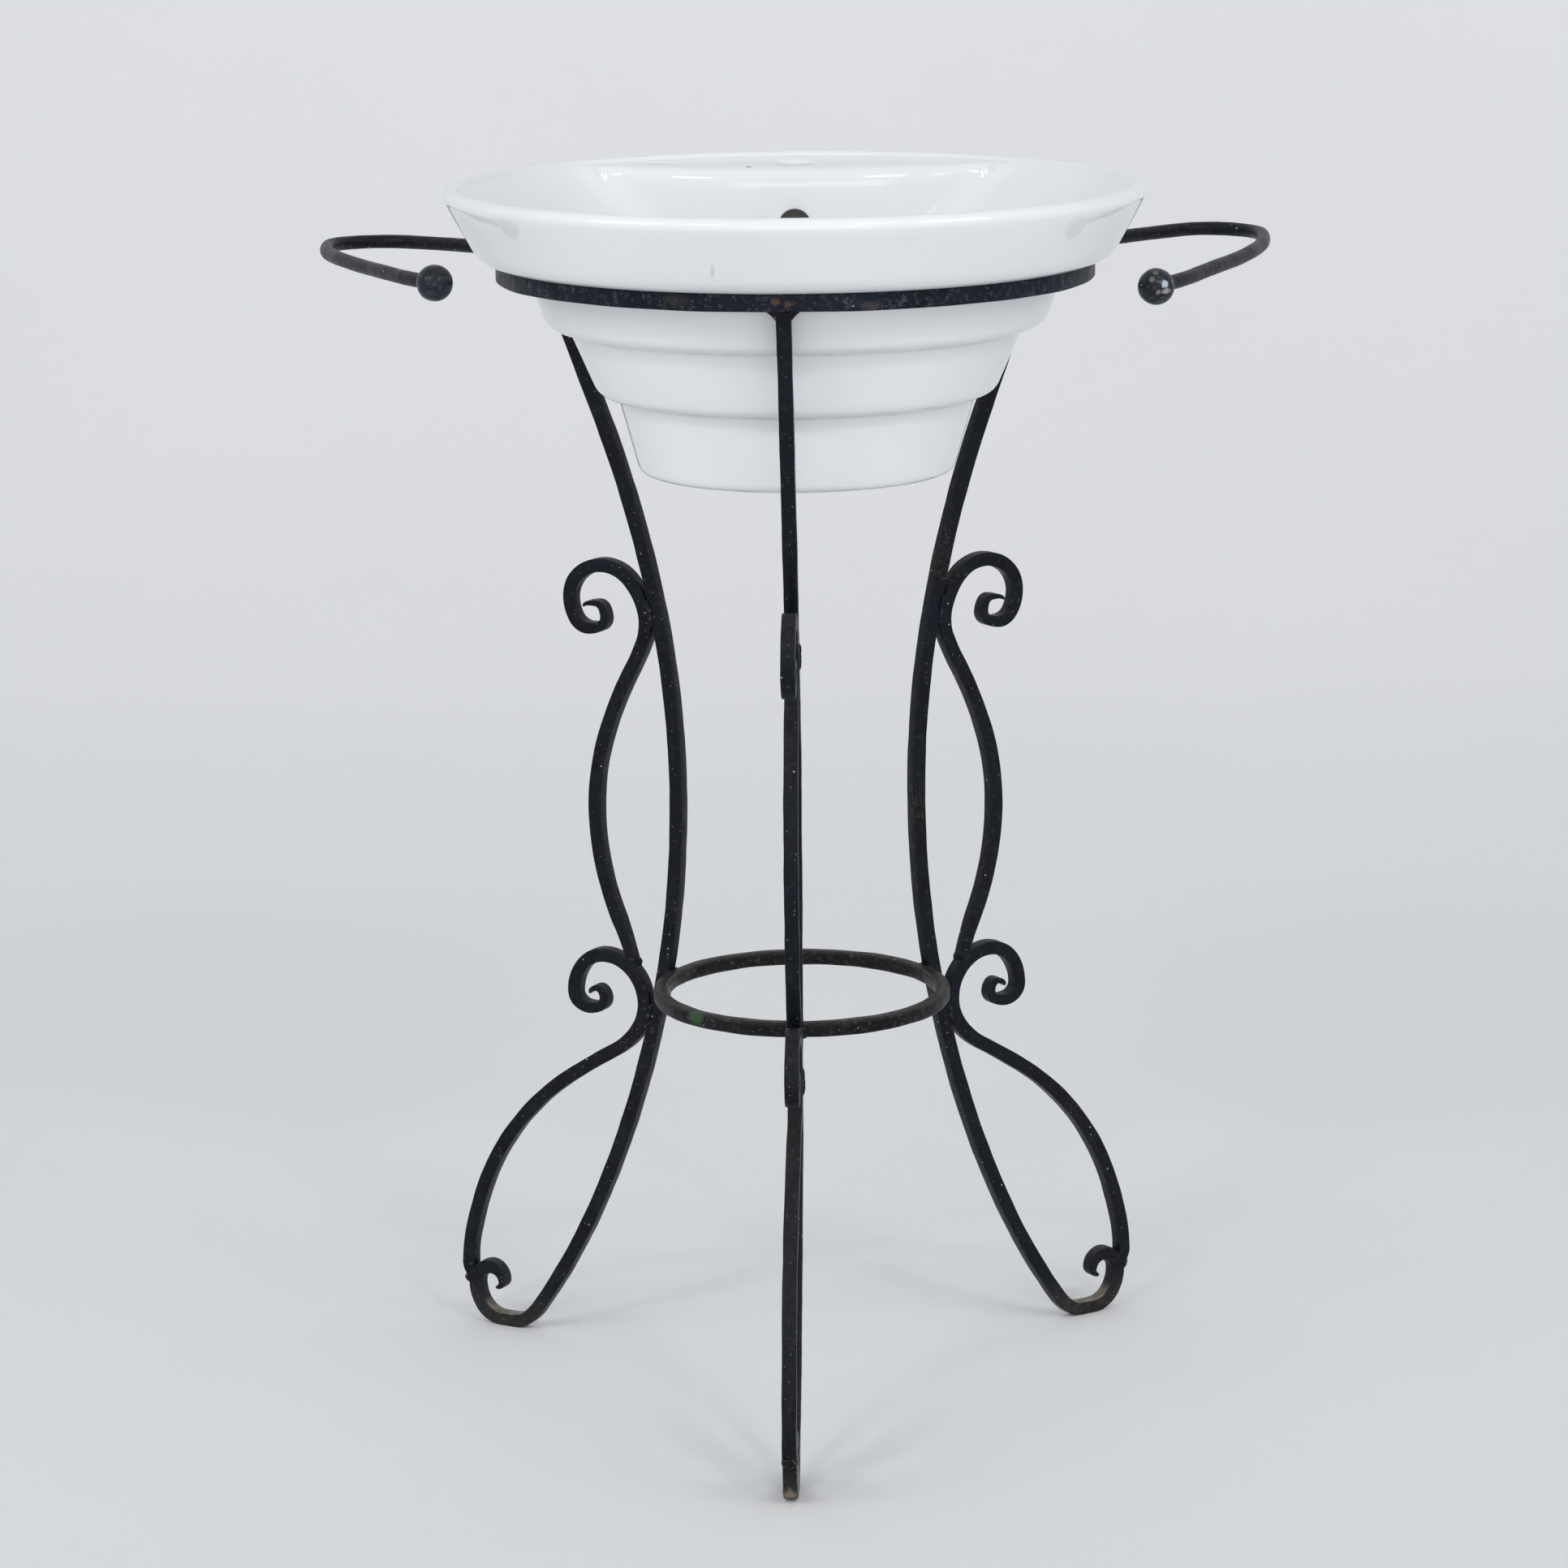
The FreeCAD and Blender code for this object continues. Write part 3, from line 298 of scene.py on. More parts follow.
def outward_mesh(name, points, faces, merge=False):
    """A mesh from points in metres, with its faces turned outwards; merge joins doubled points first."""
    mesh = bpy.data.meshes.new(name)
    mesh.from_pydata(points.tolist(), [], faces)
    work = bmesh.new()
    work.from_mesh(mesh)
    if merge:
        bmesh.ops.remove_doubles(work, verts=work.verts, dist=0.04 * MM)
        bmesh.ops.dissolve_degenerate(work, edges=work.edges, dist=0.02 * MM)
    bmesh.ops.recalc_face_normals(work, faces=work.faces)
    work.to_mesh(mesh)
    work.free()
    return mesh


def dress_piece(name, mesh, material, body, nodes, smooth=40):
    """Puts the piece into the scene under its body's empty, and hides the model.glb parts that it stands for.
    """
    mesh.validate()
    mesh.shade_smooth()
    mesh.set_sharp_from_angle(angle=math.radians(smooth))
    mesh.materials.append(material)
    piece = placed(name, mesh)
    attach(piece, body)
    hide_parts(*nodes)


def build_piece(name, points, faces, material, slot, body, nodes, arris=None, smooth=40):
    """Makes a piece from points and faces; arris marks, from 0 to 1, where its corners wear."""
    mesh = outward_mesh(name, points, faces)
    if arris is not None:
        mark = mesh.attributes.new("arris", "FLOAT", "POINT")
        mark.data.foreach_set("value", np.asarray(arris, np.float32))
    dress_piece(name, mesh, material, body, nodes, smooth)


def turned(points, azimuth):
    """Points of a leg's own plane (outward, sideways, up) in mm, turned about the axis, in metres."""
    a = math.radians(azimuth)
    out, side, up = points.T
    return np.stack([out * math.cos(a) - side * math.sin(a),
                     out * math.sin(a) + side * math.cos(a), up], 1) * MM + [0, AXIS_Y, 0]


def forged_bar(stations, azimuth, seed, tips=(False, False), cut_level=None):
    """Rounded square section carried along the arcs, in the upright plane at that azimuth.

    The point at section place (a, b) is centre + a thickness/2 normal + b width/2 sideways; thickness and
    width swell and shrink by the hammer's marks, and at a tip the last rings draw in on a quarter circle.
    With a cut level the first ring slides along the bar's heading until it lies level there."""
    centre, heading, thick = along_arcs(stations)
    section, mark = rounded_section(BAR_CORNER)
    run = length_along(centre)
    half_in = thick / 2 + wander(run, seed, 0.16, 47)
    half_side = BAR / 2 + wander(run, seed + 1, 0.16, 61)
    shift = wander(run, seed + 2, 0.35, 260)
    roll = wander(run, seed + 3, math.radians(1.6), 170)
    draw = np.ones(len(run))
    for away, wanted in zip((run, run[-1] - run), tips):
        if wanted:
            draw *= np.where(away < TIP, np.sqrt(np.clip(1 - (1 - away / TIP) ** 2, 0.02, 1)), 1)
    normal = np.stack([-np.sin(heading), np.cos(heading)], 1)
    a = section[None, :, 0] * (half_in * draw)[:, None]
    b = section[None, :, 1] * (half_side * (0.6 + 0.4 * draw))[:, None]
    lean_a = a * np.cos(roll)[:, None] - b * np.sin(roll)[:, None] * 0.5
    lean_b = a * np.sin(roll)[:, None] * 0.5 + b * np.cos(roll)[:, None]
    flat = centre[:, None] + normal[:, None] * lean_a[..., None]
    grid = np.stack([flat[..., 0], lean_b + shift[:, None] * 0.5, flat[..., 1]], -1)
    if cut_level is not None:
        slide = (cut_level - grid[0, :, 2]) / math.sin(heading[0])
        grid[0] += slide[:, None] * [math.cos(heading[0]), 0, math.sin(heading[0])]
    marks = np.tile(mark, (len(run), 1))
    points = turned(grid.reshape(-1, 3), azimuth)
    return points, tube_faces(len(run), len(section)), marks.reshape(-1)


# the foot's distance from the axis and its flat, then how far its curl reaches and rises
FOOT, FLAT, CURL, RISE = 250.0, 11.0, 27.5, 44.5
# each station is (radius from the axis, height, heading in degrees, thickness)
leg = [
    (203.5, RING_UNDERSIDE, -115, BAR),
    (158, 700, -113, BAR),
    (99, 424, -90, BAR),
    (141.5, 180, -70.7, BAR),
    (224, 18, -54, BAR),
    (FOOT - FLAT / 2, BAR / 2, 0, BAR),
    (FOOT + FLAT / 2, BAR / 2, 0, BAR),
    (FOOT + CURL, RISE * 0.685, 90, BAR * 1.1),
    (FOOT + CURL * 0.54, RISE, 180, BAR),
    (FOOT + CURL * 0.157, RISE * 0.764, 270, BAR * 0.6),
    (FOOT + CURL * 0.393, RISE * 0.64, 350, BAR * 0.22),
]
FLOOR_DIRT = [((-11, -271, 8), (5.5, 9, 11), "#8f8069", 0.8), ((-7, -274, 22), (3, 6, 9), "#2c2622", 0.6)]
bar_iron = lacquered_iron("black_lacquer_on_forged_bar", wear=0.35, dust=0.25, rust=0.5, mottle=0.12,
                          marks=FLOOR_DIRT, low_dirt=0.9)
for seed, (side, azimuth) in enumerate(LEGS.items()):
    points, faces, marks = forged_bar(leg, azimuth, 10 + seed * 7, tips=(False, True),
                                      cut_level=RING_UNDERSIDE)
    build_piece("forged_leg_" + side, points, faces, bar_iron, "blackened_iron", "stand", ["leg_" + side],
                marks)

# ------------------------------------------------------------------------------------------------
# Scrolls. The same bar, one end drawn to a thin point and rolled, then laid against the leg and
# bowed away from it. The upper one lands on the lower one, the lower one on the rolled foot.
# ------------------------------------------------------------------------------------------------


def beside_leg(height):
    """Centre of a bar lying against the leg's outer side at a height, and the heading there.

    It is the leg's own centre at that height, found between two points of its line, plus one bar along
    the leg's normal."""
    centre, heading, _ = along_arcs(leg, 0.5)
    down = np.flatnonzero((centre[:-1, 1] >= height) & (centre[1:, 1] < height))[0]
    share = (centre[down, 1] - height) / (centre[down, 1] - centre[down + 1, 1])
    spot = centre[down] + share * (centre[down + 1] - centre[down])
    angle = math.degrees(heading[down])
    normal = np.array([-math.sin(math.radians(angle)), math.cos(math.radians(angle))])
    return spot + normal * BAR, angle


# a scroll's stations follow its roll from the thin point outwards, as shares of its reach, then its bow
(ux, uz), upper_slope = beside_leg(558)
(lx, lz), lower_slope = beside_leg(255)
ROLL, LOW_ROLL = 62.0, 58.0
UPPER_BOW, LOWER_BOW = (166.5, 408.0), (283.0, 45.0)
swing, drop = UPPER_BOW[0] - ux, uz - UPPER_BOW[1]
upper_scroll = [
    (ux + ROLL * 0.82, uz + ROLL * 0.026, 121, BAR * 0.2),
    (ux + ROLL * 0.65, uz + ROLL * 0.082, 180, BAR * 0.45),
    (ux + ROLL * 0.53, uz - ROLL * 0.092, 270, BAR * 0.65),
    (ux + ROLL * 0.745, uz - ROLL * 0.221, 360, BAR * 0.85),
    (ux + ROLL, uz + ROLL * 0.123, 450, BAR * 0.95),
    (ux + ROLL * 0.55, uz + ROLL * 0.535, 540, BAR),
    (ux, uz, upper_slope + 720, BAR),
    (ux + swing * 0.268, uz - drop * 0.277, 659.7, BAR),
    (*UPPER_BOW, 630, BAR),
    (lx + LOW_ROLL * 0.344, lz + LOW_ROLL * 1.19, 606.4, BAR * 0.9),
    (lx + LOW_ROLL * 0.13, lz + LOW_ROLL * 0.591, 612, BAR * 0.6),
]
swing, drop = LOWER_BOW[0] - lx, lz - LOWER_BOW[1]
lower_scroll = [
    (lx + LOW_ROLL * 0.772, lz + LOW_ROLL * 0.181, 90, BAR * 0.2),
    (lx + LOW_ROLL * 0.668, lz + LOW_ROLL * 0.268, 180, BAR * 0.45),
    (lx + LOW_ROLL * 0.563, lz + LOW_ROLL * 0.129, 270, BAR * 0.65),
    (lx + LOW_ROLL * 0.78, lz, 360, BAR * 0.85),
    (lx + LOW_ROLL, lz + LOW_ROLL * 0.191, 450, BAR * 0.95),
    (lx + LOW_ROLL * 0.546, lz + LOW_ROLL * 0.71, 540, BAR),
    (lx, lz, lower_slope + 720, BAR),
    (lx + swing * 0.1585, lz - drop * 0.1413, 689.6, BAR),
    (lx + swing * 0.608, lz - drop * 0.376, 675.1, BAR),
    (lx + swing * 0.932, lz - drop * 0.754, 648.1, BAR),
    (*LOWER_BOW, 630, BAR),
    (FOOT + CURL + BAR * 0.2, RISE * 0.742, 624, BAR * 0.62),
]
for seed, (side, azimuth) in enumerate(LEGS.items()):
    for level, stations, first_seed in (("upper", upper_scroll, 40), ("lower", lower_scroll, 70)):
        points, faces, marks = forged_bar(stations, azimuth, first_seed + seed * 7, tips=(True, False))
        build_piece(f"rolled_{level}_scroll_{side}", points, faces, bar_iron, "blackened_iron", "stand",
                    [f"{level}_scroll_{side}"], marks)

# ------------------------------------------------------------------------------------------------
# Rings. Square bar rolled to a circle and butt welded. The basin sits on the upper one; the lower
# one ties the legs where the lower scrolls meet them, and it is softer at the edges and dustier.
# ------------------------------------------------------------------------------------------------


def rolled_ring(middle_radius, height, bar, soft, seed, count=360):
    """Rounded square carried round a circle, slightly out of round and out of true.

    The section swells by two sines over the angle, 9 and 23 waves long, and rises and falls by a third."""
    section, mark = rounded_section(soft)
    angle = np.linspace(0, 2 * math.pi, count, endpoint=False)
    phase = np.random.default_rng(seed).uniform(0, 2 * math.pi, 3)
    swell = 0.10 * np.sin(9 * angle + phase[0]) + 0.06 * np.sin(23 * angle + phase[1])
    half = bar / 2 + swell
    radius = middle_radius + section[None, :, 0] * half[:, None]
    up = height + section[None, :, 1] * half[:, None] + (0.06 * np.sin(14 * angle + phase[2]))[:, None]
    grid = np.stack([radius * np.cos(angle)[:, None], radius * np.sin(angle)[:, None], up], -1)
    points = grid.reshape(-1, 3) * MM + [0, AXIS_Y, 0]
    return points, tube_faces(count, len(section), closed=True), np.tile(mark, count)


RUST_AND_BARE_SCALE = [
    ((-13.5, -208.6, 812), (3.6, 4, 3), "#6a4b38", 0.55),
    ((-5, -209, 810.5), (3.6, 4, 2.6), "#5e4a3c", 0.5),
    ((-79, -193.5, 812), (13, 9, 5), "#33302f", 0.6),
    ((49, -203, 808.5), (9, 7, 3.6), "#46403c", 0.5),
]
ring_iron = lacquered_iron("black_lacquer_on_top_ring", wear=0.5, dust=0.3, rust=0.4, mottle=0.6,
                           marks=RUST_AND_BARE_SCALE, shade=("#080d17", "#111b2b"))
points, faces, marks = rolled_ring(RING_MIDDLE, RING_LEVEL, RING_BAR, soft=0.14, seed=3)
build_piece("rolled_top_ring", points, faces, ring_iron, "blackened_iron", "stand", ["top_ring"], marks)

LOWER_LEVEL, LOWER_BAR = 288.0, 10.5
GREEN_SMEAR = [((-75.5, -75.5, 290.5), (9, 9, 7), "#3a5a34", 0.65)]
low_ring_iron = lacquered_iron("dusty_lacquer_on_lower_ring", wear=0.4, dust=0.35, rust=0.6, mottle=0.5,
                               marks=GREEN_SMEAR, shade=("#0a0b0d", "#121417"))
lower_low, lower_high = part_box("lower_ring")
lower_outside = (lower_high.x - lower_low.x) / 2 / MM
points, faces, marks = rolled_ring(lower_outside - LOWER_BAR / 2, LOWER_LEVEL, LOWER_BAR, soft=0.5, seed=4)
build_piece("rolled_lower_ring", points, faces, low_ring_iron, "blackened_iron", "stand", ["lower_ring"],
            marks)

# ------------------------------------------------------------------------------------------------
# Towel arms. Round rod, 10 mm, bent cold into a hook and welded to the ring's outer face over each
# side leg, with a pressed steel ball welded on the end.
# ------------------------------------------------------------------------------------------------

ROD, BALL = 10.0, 12.5
ARM_LEVEL, ARM_REACH, ARM_WIDEST, ARM_END = RING_LEVEL, 341.0, 166.5, (246.0, -104.5)
ARM_DIPS = {1: 0.85, -1: -1.05}  # degrees by which the right arm's end dips; the left one's rises
WELD_RADIUS, WELD_AZIMUTH, WELD_HEADING = 206.0, math.radians(30), 46
WELD_SPOT = (WELD_RADIUS * math.cos(WELD_AZIMUTH), WELD_RADIUS * math.sin(WELD_AZIMUTH))
beyond_ring = ARM_REACH - (RING_MIDDLE + RING_BAR / 2)

# the stations lie in plan: (across, back from the axis, heading in degrees, thickness)
arm = [
    (*WELD_SPOT, WELD_HEADING, ROD),
    (ARM_REACH - beyond_ring * 0.43, ARM_WIDEST + 36.5, 35, ROD),
    (ARM_REACH, ARM_WIDEST, -90, ROD),
    (ARM_REACH - beyond_ring * 0.316, ARM_WIDEST - (ARM_WIDEST - ARM_END[1]) * 0.59, -114, ROD),
    (*ARM_END, -125, ROD),
]


def dipped(points, mirror):
    """Points of a level arm turned about the cross-wise line through its weld, in metres."""
    a = math.radians(ARM_DIPS[mirror])
    back, up = points[:, 1] - WELD_SPOT[1], points[:, 2] - ARM_LEVEL
    turned_back = WELD_SPOT[1] + back * math.cos(a) - up * math.sin(a)
    turned_up = ARM_LEVEL + back * math.sin(a) + up * math.cos(a)
    return np.stack([points[:, 0], turned_back, turned_up], 1) * MM + [0, AXIS_Y, 0]


def round_rod(stations, height, mirror, seed, around=20):
    """Circle carried along the arcs in plan: centre + r (cos v normal + sin v up)."""
    centre, heading, _ = along_arcs(stations, 3.0)
    run = length_along(centre)
    turn = np.linspace(0, 2 * math.pi, around, endpoint=False)
    radius = ROD / 2 + wander(run, seed, 0.10, 40)
    normal = np.stack([-np.sin(heading), np.cos(heading)], 1)
    side = centre[:, None] + normal[:, None] * (radius[:, None] * np.cos(turn))[..., None]
    sag = wander(run, seed + 1, 0.4, 300)[:, None] * np.sin(math.pi * run / run[-1])[:, None]
    grid = np.stack([mirror * side[..., 0], side[..., 1],
                     height + sag + radius[:, None] * np.sin(turn)], -1)
    return dipped(grid.reshape(-1, 3), mirror), tube_faces(len(run), around)


def closed_skin(grid, first_pole, last_pole):
    """Rings of points (rows, around, 3) closed by a fan of triangles to a pole at each end."""
    rows, around = grid.shape[:2]
    count, spot = rows * around, np.arange(around)
    beside = (spot + 1) % around
    faces = tube_faces(rows, around)[:-2]
    faces += np.stack([np.full(around, count), beside, spot], -1).tolist()
    faces += np.stack([np.full(around, count + 1), count - around + spot, count - around + beside],
                      -1).tolist()
    return np.vstack([grid.reshape(-1, 3), first_pole, last_pole]), faces


def dented_ball(centre, radius, seed, rows=40, around=64, dents=14):
    """Sphere of radius r less a few shallow dents, each d exp(-(1 - cos angle) / 0.03) deep."""
    rng = np.random.default_rng(seed)
    fall = np.linspace(0, math.pi, rows)[1:-1, None]
    turn = np.linspace(0, 2 * math.pi, around, endpoint=False)[None]
    out = np.stack([np.sin(fall) * np.cos(turn), np.sin(fall) * np.sin(turn),
                    np.cos(fall) * np.ones_like(turn)], -1)
    bumps = np.zeros(out.shape[:2])
    for _ in range(dents):
        aim = rng.normal(size=3)
        bumps -= rng.uniform(0.1, 0.3) * np.exp(-((1 - out @ (aim / np.linalg.norm(aim))) / 0.03))
    shell = centre + out * (radius + bumps)[..., None]
    return closed_skin(shell, centre + [0, 0, radius], centre - [0, 0, radius])


def gathered(shells):
    """Several (points, faces) shells as one."""
    points, faces = [], []
    for shell_points, shell_faces in shells:
        offset = sum(len(part) for part in points)
        points.append(shell_points)
        faces += [[corner + offset for corner in face] for face in shell_faces]
    return np.vstack(points), faces


arm_iron = lacquered_iron("black_lacquer_on_round_rod", wear=0.4, dust=0.15, rust=0.5, mottle=0.2)
for mirror, side in ((1, "right"), (-1, "left")):
    points, faces = round_rod(arm, ARM_LEVEL, mirror, 90 + mirror)
    build_piece("bent_towel_arm_" + side, points, faces, arm_iron, "blackened_iron", "stand",
                ["towel_arm_" + side])

# a painted highlight on the right ball: a pale burnished patch where a hand takes hold of it, laid where the
# far right lamp's glint falls; then scuffs worn through to grey
BALL_PAINTED_HIGHLIGHT_AND_SCUFFS = [
    # the first patch is the painted highlight, the others are scuffs
    ((249.3, -119.6, 810.8), (3.4, 4, 3.2), "#b4bcc8", 0.9),
    ((250, -119, 806), (4.2, 5, 2.2), "#a09a95", 0.8),
    ((244.6, -120.7, 805.5), (1.8, 3, 2.2), "#8b857f", 0.7),
    ((240.4, -118.8, 814), (2.6, 3, 2.2), "#7c7772", 0.6),
    ((243.2, -115.7, 818), (2.8, 4, 1.8), "#75706b", 0.6),
]
ball_iron = lacquered_iron("scuffed_lacquer_on_ball_with_painted_highlight", wear=0.9, dust=0.1, rust=0.5, mottle=0.5,
                           marks=BALL_PAINTED_HIGHLIGHT_AND_SCUFFS, shade=("#0c1118", "#152030"), shine=(0.22, 0.36), specular=0.25)
balls = []
for mirror in (1, -1):
    ball_centre = np.array([mirror * (ARM_END[0] - 2), ARM_END[1] - 4, ARM_LEVEL])
    points, faces = dented_ball(ball_centre, BALL, 30 + mirror)
    balls.append((dipped(points, mirror), faces))
build_piece("pressed_arm_balls", *gathered(balls), ball_iron, "ball_iron", "stand", ["arm_balls"])

# ------------------------------------------------------------------------------------------------
# Welds. Stick-welded joints, left as they cooled and lacquered over: lumpy beads with crescent
# ripples. Corner welds under the top ring, short ones beside the scrolls, blobs where the bows land.
# ------------------------------------------------------------------------------------------------

WELD_ARRIS = 0.35  # how far a bead counts as a corner that wears
weld_iron = lacquered_iron("lacquered_weld_metal", wear=0.35, dust=0.35, rust=0.9, mottle=0.8)


def eased(count):
    """From 0 to 1 with small steps at both ends: (1 - cos(pi t)) / 2."""
    return 0.5 - 0.5 * np.cos(np.linspace(0, math.pi, count))


def weld_bead(start, end, radius, seed, rows=24, around=18, ripple=1.7):
    """A bead along a line.

    At share t the ring's radius is r (1 - |2t - 1|^4)^(1/2) (1 + 0.07 sin(ripples) + slow sines round it)."""
    start, end = np.array(start, float), np.array(end, float)
    way = (end - start) / np.linalg.norm(end - start)
    start, end = start - way * radius * 0.55, end + way * radius * 0.55
    run = np.linalg.norm(end - start)
    across = np.cross(way, [0.31, 0.17, 0.93])
    across /= np.linalg.norm(across)
    other = np.cross(way, across)
    phase = np.random.default_rng(seed).uniform(0, 2 * math.pi, 5)
    share = eased(rows + 2)[1:-1, None]
    turn = np.linspace(0, 2 * math.pi, around, endpoint=False)[None]
    lump = (1 + 0.07 * np.sin(2 * math.pi * share * run / ripple - 0.9 * np.cos(turn + phase[0]) + phase[1])
            + 0.09 * np.sin(3 * turn + 5 * share + phase[2]) + 0.08 * np.sin(2 * turn - 7 * share + phase[3]))
    size = radius * np.sqrt(1 - np.abs(2 * share - 1) ** 4) * lump
    grid = (start + way * share[..., None] * run + across * (size * np.cos(turn))[..., None]
            + other * (size * np.sin(turn))[..., None])
    return closed_skin(grid, start, end)


def corner_weld(side, seed, throat=6.5, length=10.0, rows=14):
    """The weld between a leg's flat side and the ring above it: a three-cornered section with a bulging
    rippled face, carried along the bar's thickness and leaning with the leg."""
    phase = np.random.default_rng(seed).uniform(0, 2 * math.pi, 3)
    along = eased(rows)[:, None]
    face = np.linspace(0, 1, 11)[None]
    ripples = 0.16 * np.sin(2 * math.pi * along * length / 2.1 + 2 * face + phase[0])
    swell = -0.35 * np.sin(math.pi * face) + ripples
    bulge = swell * 0.7 * np.sin(math.pi * face)
    reach = throat * (1 + 0.05 * np.sin(9 * along + phase[1])) * (0.90 + 0.10 * np.sin(math.pi * along))
    sunk = np.full((rows, 1), -0.3)
    aside = np.concatenate([sunk, reach * (1 - face) + bulge, sunk], 1)
    below = np.concatenate([np.full((rows, 1), -0.2), reach * face + bulge - 0.2 * (1 - face),
                            np.full((rows, 1), 3.0)], 1)
    out = leg[0][0] - BAR / 2 + 0.2 + (length - 0.4) * along - 0.4663 * below
    grid = np.stack([out, side * (BAR / 2 + aside), RING_UNDERSIDE - below], -1)
    return grid.reshape(-1, 3), tube_faces(rows, grid.shape[1])


def weld_on_each_leg(node, shells):
    """The same joint's welds on all three legs, one piece for the node."""
    made = []
    for number, azimuth in enumerate(LEGS.values()):
        points, faces = gathered(shells(100 * number))
        made.append((turned(points, azimuth), faces))
    points, faces = gathered(made)
    build_piece("laid_" + node, points, faces, weld_iron, "weld_metal", "stand", [node],
                np.full(len(points), WELD_ARRIS), smooth=60)


def seam_beads(spot, angle, half_length=9.0, radius=1.9):
    """Beads over the line where a scroll lies against its leg, one on each flat side."""
    way = np.array([math.cos(math.radians(angle)), 0, math.sin(math.radians(angle))])
    normal = np.array([-way[2], 0, way[0]])
    contact = np.array([spot[0], 0, spot[1]]) - normal * BAR / 2
    ends = contact - way * half_length, contact + way * half_length
    return lambda seed: [weld_bead(ends[0] + [0, y, 0], ends[1] + [0, y, 0], radius, seed + number)
                         for number, y in enumerate((-4.7, 4.7))]


def crosswise_bead(out, up, half_length, radius, first_seed):
    """One bead across the bar, where a thinned end lands on what carries it."""
    return lambda seed: [weld_bead((out, -half_length, up), (out, half_length, up), radius,
                                   first_seed + seed)]


weld_on_each_leg("leg_top_welds", lambda seed: [corner_weld(side, 201 + seed + side) for side in (-1, 1)])
weld_on_each_leg("upper_scroll_welds", seam_beads((ux, uz), upper_slope))
weld_on_each_leg("lower_scroll_welds", seam_beads((lx, lz), lower_slope))
weld_on_each_leg("lower_ring_welds", lambda seed: [
    weld_bead((lower_outside + 1.6, y, 284.6), (lower_outside - 0.4, y, 291.6), 3.2, 301 + seed + number)
    for number, y in enumerate((-BAR / 2, BAR / 2))])
weld_on_each_leg("bow_end_welds",
                 crosswise_bead(lx + LOW_ROLL * 0.151, lz + LOW_ROLL * 0.661 - 0.4, 3.4, 4.7, 401))
weld_on_each_leg("foot_end_welds", crosswise_bead(FOOT + CURL + BAR / 2, RISE * 0.764, 3.2, 4.4, 501))

heading = math.radians(WELD_HEADING)
way = np.array([math.cos(heading), math.sin(heading), 0])
start = np.array([*WELD_SPOT, ARM_LEVEL])
collars = []
for mirror in (1, -1):
    points, faces = weld_bead(start + way * 2.0, start + way * 6.0, 6.9, 610 + mirror, rows=30, around=28)
    collars.append((dipped(points * [mirror, 1, 1], mirror), faces))
points, faces = gathered(collars)
build_piece("laid_arm_welds", points, faces, weld_iron, "weld_metal", "stand", ["arm_welds"],
            np.full(len(points), WELD_ARRIS), smooth=60)

# ------------------------------------------------------------------------------------------------
# China basin. Vitreous china, cast in a plaster mould: three leaning tiers hang through the ring, a
# cone sits on it, and the bowl is cut off at the back by a bowed wall that leaves a tap deck. White
# glaze, soft at every edge, a touch out of round from the firing.
# ------------------------------------------------------------------------------------------------

# the bowl: heights of rim, deck and floor, radii of the floor's edge and the lip
RIM, DECK, FLOOR, FLOOR_EDGE, LIP = 870.0, 866.5, 690.0, 88.0, 234.5
# the back wall's distance behind the axis, and the bows of the back wall and the side wall
BACK_WALL, BACK_BOW, WALL_BOW = 142.0, 343.0, 1400.0
# the outside: heights of the seat on the ring, the two steps and the base
RING_SEAT, FIRST_STEP, SECOND_STEP, BASE = RING_LEVEL + RING_BAR / 2, 771.0, 723.5, 668.0
# the holes: radii of waste, flange seat, tap and overflow, and where they lie
WASTE, FLANGE, TAP, OVERFLOW = 22.5, 32.0, 17.5, 11.5
FLANGE_LEVEL, OVERFLOW_LEVEL, TAP_BACK = 687.0, 825.0, 187.0

# centre of the arc that the bowl's side wall follows, from the floor's edge to the lip
chord = np.array([LIP - 1 - FLOOR_EDGE, DECK - FLOOR])
half_chord = np.hypot(*chord) / 2
WALL_CENTRE = (np.array([FLOOR_EDGE, FLOOR]) + chord / 2
               + np.array([chord[1], -chord[0]]) / (2 * half_chord) * math.sqrt(WALL_BOW**2 - half_chord**2))
wall_start = math.atan2(FLOOR - WALL_CENTRE[1], FLOOR_EDGE - WALL_CENTRE[0])


def filleted(corners, per_turn=7):
    """Outline through (radius, height, fillet) corners.

    A fillet of radius f at a corner whose sides turn by t starts f tan(t/2) before the corner; its points
    lie on the circle between the two tangent points."""
    spots = np.array([corner[:2] for corner in corners], float)
    line = [spots[:1]]
    for before, spot, after, (_, _, fillet) in zip(spots[:-2], spots[1:-1], spots[2:], corners[1:-1]):
        u, w = (spot - before) / np.hypot(*(spot - before)), (after - spot) / np.hypot(*(after - spot))
        turn = math.atan2(u[0] * w[1] - u[1] * w[0], u @ w)
        if fillet == 0:
            line.append(spot[None])
            continue
        start = spot - u * fillet * math.tan(abs(turn) / 2)
        inward = np.array([-u[1], u[0]]) * math.copysign(1, turn)
        angles = np.linspace(0, turn, per_turn)[:, None]
        spoke = -inward * fillet
        swept = np.hstack([spoke[0] * np.cos(angles) - spoke[1] * np.sin(angles),
                           spoke[0] * np.sin(angles) + spoke[1] * np.cos(angles)])
        line.append(start + inward * fillet + swept)
    line.append(spots[-1:])
    return np.vstack(line)


def divided(line, longest):
    """The same outline with every straight run cut into pieces no longer than longest."""
    out = [line[:1]]
    for start, end in zip(line[:-1], line[1:]):
        count = max(1, math.ceil(np.hypot(*(end - start)) / longest))
        out.append(start + (end - start) * (np.arange(1, count + 1) / count)[:, None])
    return np.vstack(out)


def round_max(a, b, f):
    """Where two solids overlap, their common corner rounded by f: length of both over-reaches, less f."""
    return np.minimum(np.maximum(a, b), -f) + np.hypot(np.maximum(a + f, 0), np.maximum(b + f, 0))


